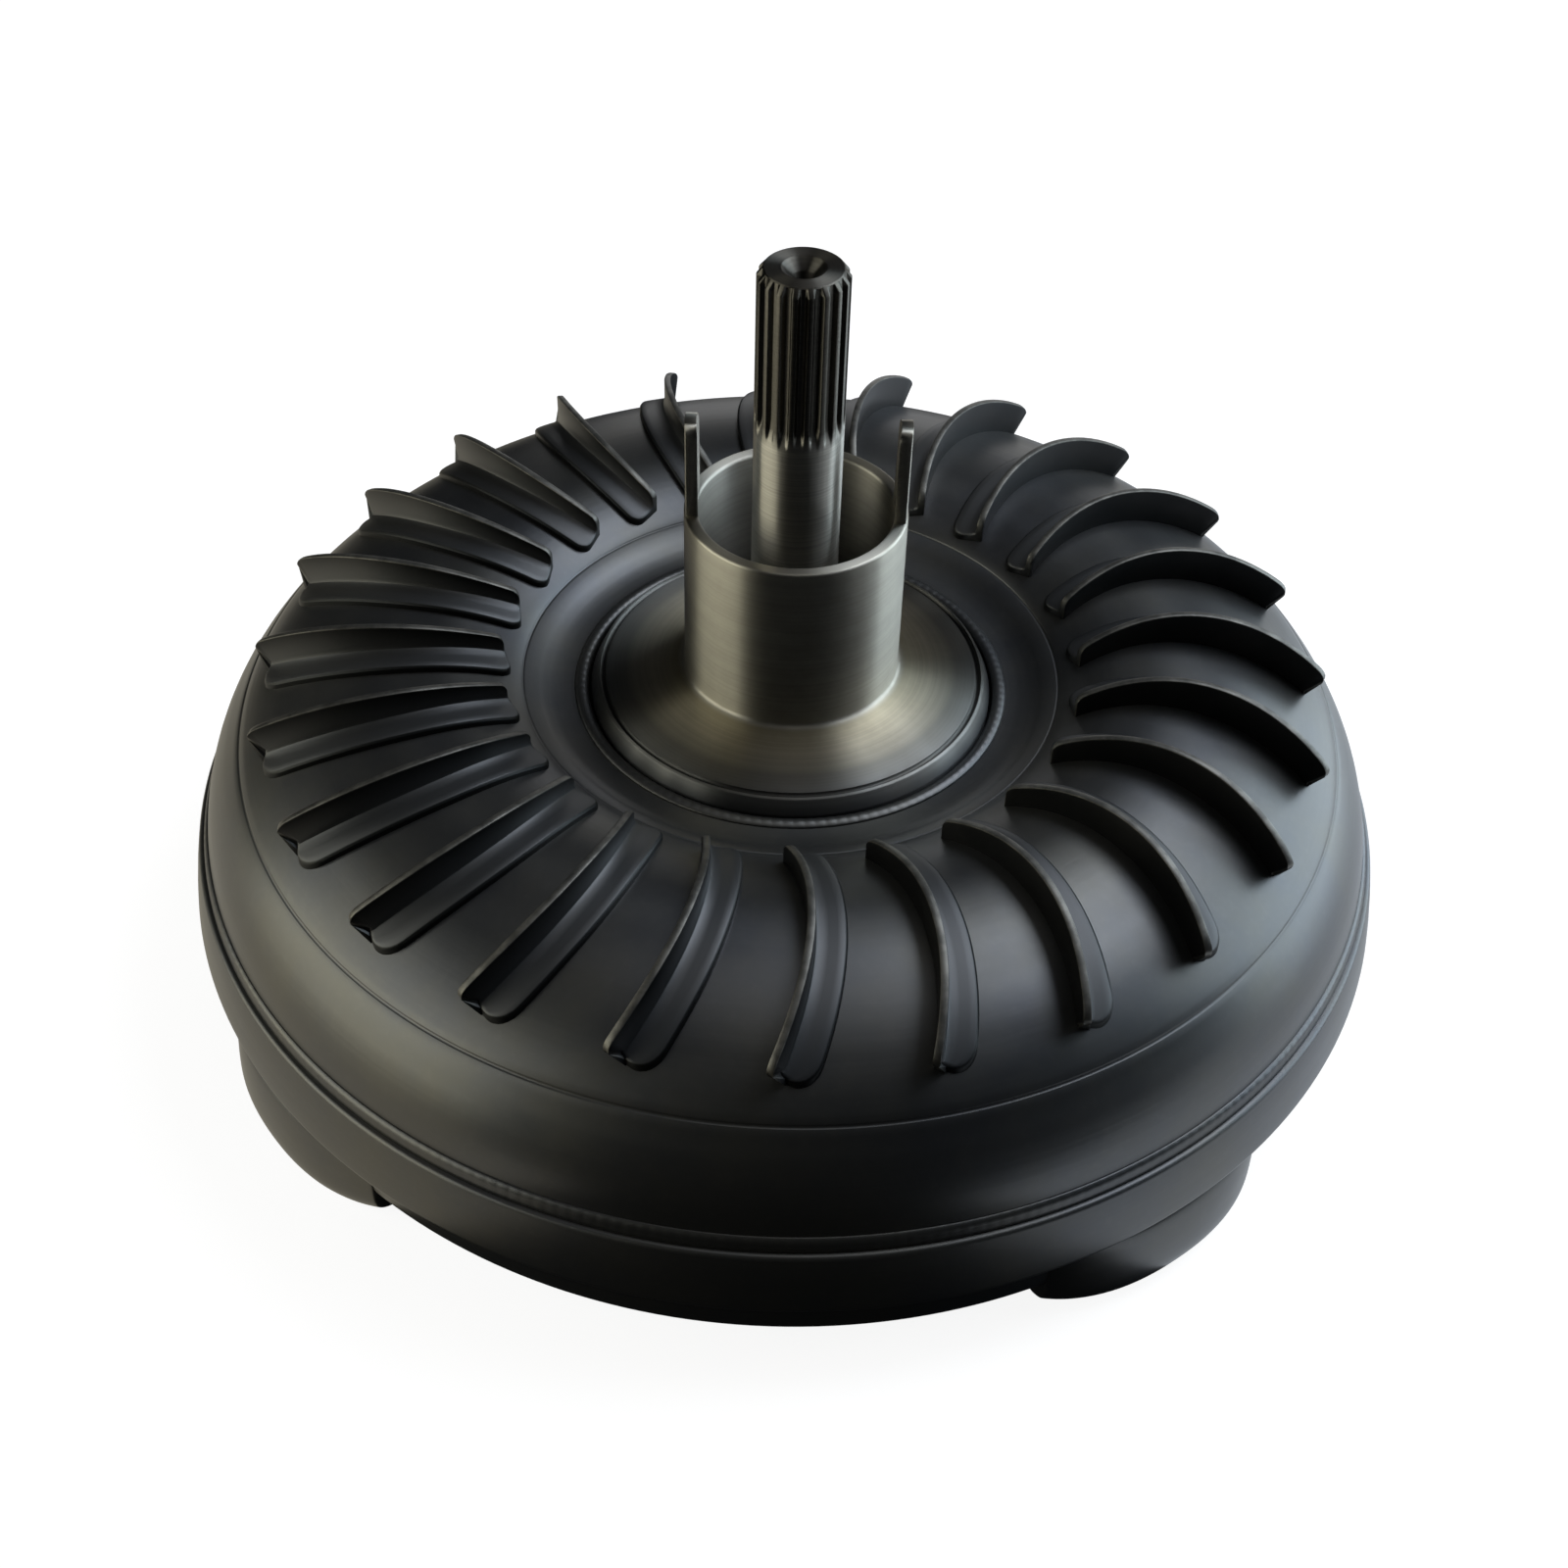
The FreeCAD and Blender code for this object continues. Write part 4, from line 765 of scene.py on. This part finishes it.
def turned_hub_steel(name):
    """The hub's forged steel, turned all over and left unpainted.

    Bright and straw-coloured where it was faced next to the tube, then the dark scale of the weld's
    heat and paint spray out to the grooves, with the lines of the facing tool. The groove is painted
    darker as shade, and the rim's edge just outside it lighter as a painted highlight.
    """
    material, tree = new_material(name)
    place, out, section = ring_coordinates(tree)
    from_tube = add(tree, "ShaderNodeMapRange", [out, 24 * MM, 62 * MM, 0.0, 1.0])
    ring_tone_ramp_with_painted_groove_light = add(tree, "ShaderNodeValToRGB", [from_tube])
    # the stop at 50.2 mm is painted shade in the groove, and the one at 51.3 mm is a painted
    # highlight on the rim's edge
    ring_tones_and_painted_groove_light = [(24.0, "#a9a69d"), (29.0, "#aca89c"), (30.5, "#a59d86"), (34.0, "#a29a85"),
             (42.8, "#7d796e"), (44.4, "#6c6a63"), (49.3, "#6a6a67"), (50.2, "#333332"),
             (51.3, "#83837f"), (53.6, "#4c4e50"), (61.0, "#3a3c3d")]
    ramp = ring_tone_ramp_with_painted_groove_light.color_ramp
    for radius, shade in ring_tones_and_painted_groove_light[1:-1]:
        ramp.elements.new((radius - 24) / 38).color = linear(shade)
    ramp.elements[0].position, ramp.elements[0].color = 0.0, linear(ring_tones_and_painted_groove_light[0][1])
    ramp.elements[-1].position, ramp.elements[-1].color = 0.98, linear(ring_tones_and_painted_groove_light[-1][1])
    stains = add(tree, "ShaderNodeTexNoise", {"Vector": place, "Scale": 60.0, "Detail": 5.0,
                                              "Roughness": 0.62})
    lines = add(tree, "ShaderNodeTexNoise", {"Vector": section, "Scale": 1500.0, "Detail": 2.0},
                noise_dimensions="2D")
    broad = add(tree, "ShaderNodeTexNoise", {"Vector": section, "Scale": 330.0, "Detail": 2.0},
                noise_dimensions="2D")
    stained = add(tree, "ShaderNodeMix", {
        "Factor": add(tree, "ShaderNodeMapRange", [stains, 0.45, 0.8, 0.0, 0.3]),
        "A": ring_tone_ramp_with_painted_groove_light, "B": linear("#5a5244")}, data_type="RGBA")
    ringed = add(tree, "ShaderNodeMix", {
        "Factor": add(tree, "ShaderNodeMapRange", [broad, 0.35, 0.7, 0.0, 0.10]),
        "A": stained, "B": linear("#383732")}, data_type="RGBA")
    lined = add(tree, "ShaderNodeMix", {
        "Factor": add(tree, "ShaderNodeMapRange", [lines, 0.35, 0.7, 0.0, 0.12]),
        "A": ringed, "B": linear("#45433f")}, data_type="RGBA")
    rough = add(tree, "ShaderNodeMapRange", [stains, 0.3, 0.75, 0.38, 0.47])
    cut = add(tree, "ShaderNodeBump", {"Height": lines, "Strength": 0.35,
                                       "Distance": 0.03 * MM})
    round_axis = add(tree, "ShaderNodeTangent", direction_type="RADIAL", axis="Z")
    surface = add(tree, "ShaderNodeBsdfPrincipled", {
        "Base Color": lined, "Metallic": 1.0, "Roughness": rough, "Anisotropic": 0.92,
        "Anisotropic Rotation": 0.25, "Tangent": round_axis, "Normal": cut})
    add(tree, "ShaderNodeOutputMaterial", [surface])
    return material


HUB_STEEL = turned_hub_steel("turned_and_ground_hub_steel")
turned_part("pump_drive_hub_turning", hub_section, 224, HUB_STEEL,
            "housing", ["pump_drive_hub"], 32)

TANG_TOP_Z, TANG_WIDTH, TANG_CORNER, TANG_IN_R, TANG_OUT_R = 162.0, 11.0, 3.0, 25.2, 28.1


def tang_mesh():
    """One tang: the tube's own wall left standing, its corners rounded and edges eased."""
    levels = [TUBE_TOP_Z - 4, TUBE_TOP_Z - 1, 142.0, 148.0, 154.0]
    levels += [TANG_TOP_Z - TANG_CORNER * s for s in (1.0, 0.75, 0.5, 0.3, 0.15, 0.05, 0.0)]
    mesh = bmesh.new()
    walls = []
    for radius in (TANG_IN_R, TANG_OUT_R):
        rows = []
        for z in levels:
            lean = 0.8 * max(0.0, (z - TUBE_TOP_Z) / (TANG_TOP_Z - TUBE_TOP_Z))
            short = max(0.0, z - (TANG_TOP_Z - TANG_CORNER))
            half = TANG_WIDTH / 2 - lean - TANG_CORNER
            half += math.sqrt(max(0.0, TANG_CORNER ** 2 - short ** 2))
            row = []
            for k in range(9):
                a = math.asin((half * (k / 4 - 1)) / radius)
                row.append(mesh.verts.new((radius * MM * math.cos(a), radius * MM * math.sin(a),
                                           z * MM)))
            rows.append(row)
        walls.append(rows)
    inner, outer = walls
    for rows in walls:
        for low, high in zip(rows, rows[1:]):
            for k in range(8):
                mesh.faces.new((low[k], low[k + 1], high[k + 1], high[k]))
    for k in range(8):
        for row in (0, -1):
            mesh.faces.new((inner[row][k], inner[row][k + 1], outer[row][k + 1], outer[row][k]))
    for i in range(len(levels) - 1):
        for k in (0, 8):
            mesh.faces.new((inner[i][k], inner[i + 1][k], outer[i + 1][k], outer[i][k]))
    return as_data(mesh, "drive_tang")


tang = with_modifiers(tang_mesh(), ("BEVEL", {"width": 0.35 * MM, "segments": 2,
                                              "limit_method": "ANGLE",
                                              "angle_limit": math.radians(45)}))
made_plain("pump_drive_tang_pair", smooth_by_angle(tang, 40), RINGING, {
    "How many": 2, "First at": 0.0, "Swing": 0.0, "Play": 0.0, "Seed": 1, "Finish": HUB_STEEL},
    "housing", ["pump_drive_hub"])

# ------------------------------------------------------------------ welds
# The hub is joined to the dome by one turned-down bead, and the two halves of the case by a
# single fillet weld above the band, laid as even ripples and painted over.


def weld_bead(name, section, pitch, depth, finish, nodes):
    """A bead round the axis with ripples: section points are (r, z, share of the ripple)."""
    circumference = math.tau * section[0][0]
    ripples = round(circumference / pitch)
    stations = ripples * 6
    chance = random.Random(11)
    sizes = [1 + 0.35 * (chance.random() - 0.5) for _ in range(ripples)]
    middle = Vector((sum(p[0] for p in section) / len(section),
                     sum(p[1] for p in section) / len(section)))
    mesh = bmesh.new()
    loops = []
    for i in range(stations):
        a = math.tau * i / stations
        phase = (i / 6) % 1.0
        swell = depth * sizes[i // 6] * (1 - (2 * phase - 1) ** 2)
        loop = []
        for r, z, share in section:
            out = (Vector((r, z)) - middle).normalized() * (swell - depth) * share
            loop.append(mesh.verts.new(((r + out.x) * MM * math.cos(a),
                                        (r + out.x) * MM * math.sin(a), (z + out.y) * MM)))
        loops.append(loop)
    skin(mesh, loops + loops[:1])
    for face in mesh.faces:
        face.smooth = True
    data = as_data(mesh, name)
    data.materials.append(finish)
    return made_plain(name, data, None, {}, "housing", nodes)


WELD_BLACK = satin_black_case("satin_black_enamel_on_weld_metal", 0.01)
weld_bead("closing_weld_bead", [
    (157.9, 43.0, 0), (159.7, 43.1, 0), (160.0, 43.7, 0.6), (159.9, 44.6, 1), (159.7, 45.7, 1),
    (159.5, 46.6, 0.9), (158.8, 47.3, 0.4), (157.9, 47.5, 0)], 3.1, 0.08, WELD_BLACK,
    ["closing_weld"])
weld_bead("hub_weld_bead", [
    (54.25, 77.3, 0), (56.35, 77.3, 0), (56.35, 79.5, 0), (58.1, 79.5, 0), (57.6, 80.0, 0.6),
    (56.5, 80.5, 1), (55.4, 80.4, 1), (54.6, 80.0, 0.8), (54.25, 79.3, 0)], 2.6, 0.08,
    WELD_BLACK, ["hub_weld"])

# ------------------------------------------------------------------ turbine shaft
# The input shaft, turned and ground from bar, with 18 rolled spline teeth that run out into
# the shank, a chamfered end with its lathe centre hole, and a second spline in the turbine.

SHAFT_R, SHAFT_TOP_Z, SHAFT_LOW_Z, SPLINE_TOP_Z, SPLINE_LOW_Z = 11.2, 204.5, 17.4, 202.6, 163.0
SPLINE_TEETH, SPLINE_DEPTH, HUB_SPLINE_TOP_Z = 18, 1.3, 36.0
CENTRE_HOLE_R, CENTRE_HOLE_DEPTH, CENTRE_MOUTH_R = 2.8, 12.0, 5.3
# one tooth pitch: (share of the pitch, share of the depth), crest flats, flanks, rounded root
TOOTH = ((0.0, 0.0), (0.12, 0.0), (0.17, 0.05), (0.205, 0.22), (0.30, 0.80), (0.335, 0.95),
         (0.38, 1.0), (0.5, 1.0), (0.62, 1.0), (0.665, 0.95), (0.70, 0.80), (0.795, 0.22),
         (0.83, 0.05), (0.88, 0.0))


def shaft_mesh():
    """The shaft as rings of points from its lower end up, then down into the centre hole."""
    levels = [(0.0, SHAFT_LOW_Z, 0.0), (7.6, SHAFT_LOW_Z, 0.0), (8.9, SHAFT_LOW_Z, 0.0),
              (9.9, SHAFT_LOW_Z + 1.0, 0.0), (9.9, 19.0, 0.0), (8.9, 19.0, 0.0),
              (8.9, 20.6, 0.0), (9.9, 20.6, 0.0), (9.9, 21.4, 0.0), (11.2, 22.4, 1.0),
              (11.2, 30.0, 1.0), (11.2, HUB_SPLINE_TOP_Z - 1, 1.0), (11.2, 36.0, 0.8),
              (11.2, 37.5, 0.35), (11.2, 38.6, 0.0), (11.2, 60.0, 0.0), (11.2, 90.0, 0.0),
              (11.2, 120.0, 0.0), (11.2, 145.0, 0.0), (11.2, 158.0, 0.0), (11.2, 160.5, 0.0),
              (11.2, 161.5, 0.10), (11.2, 162.6, 0.32), (11.2, 164.0, 0.62), (11.2, 165.6, 0.86),
              (11.2, 167.4, 0.98), (11.2, 169.5, 1.0), (11.2, 180.0, 1.0), (11.2, 192.0, 1.0),
              (11.2, SPLINE_TOP_Z - 0.3, 1.0), (11.1, SPLINE_TOP_Z, 1.0),
              (9.75, SHAFT_TOP_Z - 0.25, 1.0), (9.4, SHAFT_TOP_Z, 1.0), (8.0, SHAFT_TOP_Z, 0.0),
              (CENTRE_MOUTH_R + 0.15, SHAFT_TOP_Z, 0.0), (CENTRE_MOUTH_R, SHAFT_TOP_Z - 0.1, 0.0),
              (CENTRE_HOLE_R + 0.1, SHAFT_TOP_Z - 2.4, 0.0), (CENTRE_HOLE_R, 201.8, 0.0),
              (CENTRE_HOLE_R, SHAFT_TOP_Z - CENTRE_HOLE_DEPTH + 1.5, 0.0),
              (0.0, SHAFT_TOP_Z - CENTRE_HOLE_DEPTH, 0.0)]
    root = SHAFT_R - SPLINE_DEPTH
    mesh = bmesh.new()
    loops = []
    for radius, z, cut in levels:
        loop = []
        for tooth in range(SPLINE_TEETH):
            for turn, share in TOOTH:
                depth = max(0.0, radius - root) * share * cut
                a = math.tau * (tooth + turn) / SPLINE_TEETH
                reach = (radius - depth) * MM
                loop.append(mesh.verts.new((reach * math.cos(a), reach * math.sin(a), z * MM)))
        loops.append(loop)
    skin(mesh, loops)
    bmesh.ops.remove_doubles(mesh, verts=mesh.verts, dist=0.001 * MM)
    return smooth_by_angle(as_data(mesh, "turbine_shaft_bar"), 30)


SHAFT_STEEL = turned_bright_steel("ground_shaft_steel", "#b6b3aa", 0.42, 0.92, 0.01, 0.2, 160)
shaft = shaft_mesh()
shaft.materials.append(SHAFT_STEEL)
made_plain("turbine_shaft_bar", shaft, None, {}, "turbine", ["turbine_shaft"])

# ------------------------------------------------------------------ studio
# A plain pale floor, warm soft panels on the left and larger cool ones on the right and behind;
# nothing stands in front and the floor doesn't light the metal, so the front stays dark.

floor_data = bpy.data.meshes.new("studio_floor")
floor_data.from_pydata([(-6, -6, 0), (6, -6, 0), (6, 6, 0), (-6, 6, 0)], [], [(0, 1, 2, 3)])
floor = bpy.data.objects.new("studio_floor", floor_data)
bpy.context.scene.collection.objects.link(floor)
floor_paint, tree = new_material("matt_white_paper")
paper = add(tree, "ShaderNodeBsdfDiffuse", {"Color": (0.25, 0.25, 0.25, 1.0)})
glow = add(tree, "ShaderNodeEmission", {"Color": (1.0, 1.0, 1.0, 1.0), "Strength": 0.9})
both = add(tree, "ShaderNodeAddShader", [paper, glow])
add(tree, "ShaderNodeOutputMaterial", [both])
floor_data.materials.append(floor_paint)
floor.visible_glossy = False
floor.visible_diffuse = False

world = bpy.data.worlds.new("studio")
world.use_nodes = True
sky = world.node_tree
sky.nodes.clear()
seen = add(sky, "ShaderNodeLightPath")
white = add(sky, "ShaderNodeBackground", {"Color": (1, 1, 1, 1), "Strength": 1.0})
dim = add(sky, "ShaderNodeBackground", {"Color": (0.75, 0.85, 1.0, 1), "Strength": 0.01})
pick = add(sky, "ShaderNodeMixShader", [seen.outputs["Is Camera Ray"], dim, white])
add(sky, "ShaderNodeOutputWorld", [pick])
bpy.context.scene.world = world
bpy.context.scene.view_settings.view_transform = "Standard"


def softbox(name, azimuth, elevation, width, height, colour, watts):
    """A rectangular soft light 1.3 m from the part's middle, facing it."""
    data = bpy.data.lights.new(name, "AREA")
    data.shape, data.size, data.size_y = "RECTANGLE", width, height
    data.color = linear(colour)[:3]
    data.energy = watts
    light = bpy.data.objects.new(name, data)
    a, e = math.radians(azimuth), math.radians(elevation)
    away = Vector((math.cos(e) * math.cos(a), math.cos(e) * math.sin(a), math.sin(e)))
    light.matrix_world = (Matrix.Translation(away * 1.3 + Vector((0, 0, 0.09)))
                          @ away.to_track_quat("Z", "Y").to_matrix().to_4x4())
    bpy.context.scene.collection.objects.link(light)
    return light


softbox("cool_panel_right", 21, 14, 1.25, 1.15, "#e1f2ff", 19)
softbox("cool_panel_right_high", 30, 58, 0.9, 0.62, "#ebf3ff", 9.0)
softbox("pale_panel_behind", 75, 5, 1.3, 0.62, "#ffffff", 2.4)
softbox("warm_panel_left_low", 195, 5, 1.3, 0.62, "#fffce5", 6.7)
softbox("warm_panel_left_high", 195, 30, 1.3, 0.62, "#fffff4", 4.6)
softbox("small_panel_over", 45, 88, 0.62, 0.62, "#ffffff", 0.9)
# bright cards on the table at both sides, which light the band and the lugs from below
for name, x, y, width, depth, colour, watts in (
        ("card_right", 0.42, 0.05, 0.64, 0.60, "#eef6ff", 1.2),
        ("card_left", -0.42, 0.05, 0.64, 0.60, "#fff7e2", 0.75)):
    card = softbox(name, 0, 90, width, depth, colour, watts)
    card.matrix_world = (Matrix.Translation((x, y, 0.001))
                         @ Matrix.Rotation(math.pi, 4, "X"))
    card.visible_camera = False

# the camera stands in front and above, its own small roll kept
CAMERA_REACH, CAMERA_UNIT, AIM_Z, CAMERA_LENS = 4.251, 0.1415, 0.085, 51.476
rise, tilt, yaw, roll = (math.radians(a) for a in (39.633, -3.057, -0.075, 1.944))
stand = Vector((0, -math.cos(rise), math.sin(rise))) * CAMERA_REACH * CAMERA_UNIT
forward, right = -stand.normalized(), Vector((1, 0, 0))
up = right.cross(forward)
forward = forward * math.cos(tilt) + up * math.sin(tilt)
up = right.cross(forward)
forward, right = (forward * math.cos(yaw) + right * math.sin(yaw),
                  right * math.cos(yaw) - forward * math.sin(yaw))
right, up = (right * math.cos(roll) + up * math.sin(roll),
             up * math.cos(roll) - right * math.sin(roll))
camera_data = bpy.data.cameras.new("studio_camera")
camera_data.lens, camera_data.sensor_width, camera_data.clip_start = CAMERA_LENS, 36.0, 0.01
camera = bpy.data.objects.new("studio_camera", camera_data)
camera.matrix_world = Matrix((
    (right.x, up.x, -forward.x, stand.x), (right.y, up.y, -forward.y, stand.y),
    (right.z, up.z, -forward.z, stand.z + AIM_Z), (0, 0, 0, 1)))
bpy.context.scene.collection.objects.link(camera)
bpy.context.scene.camera = camera
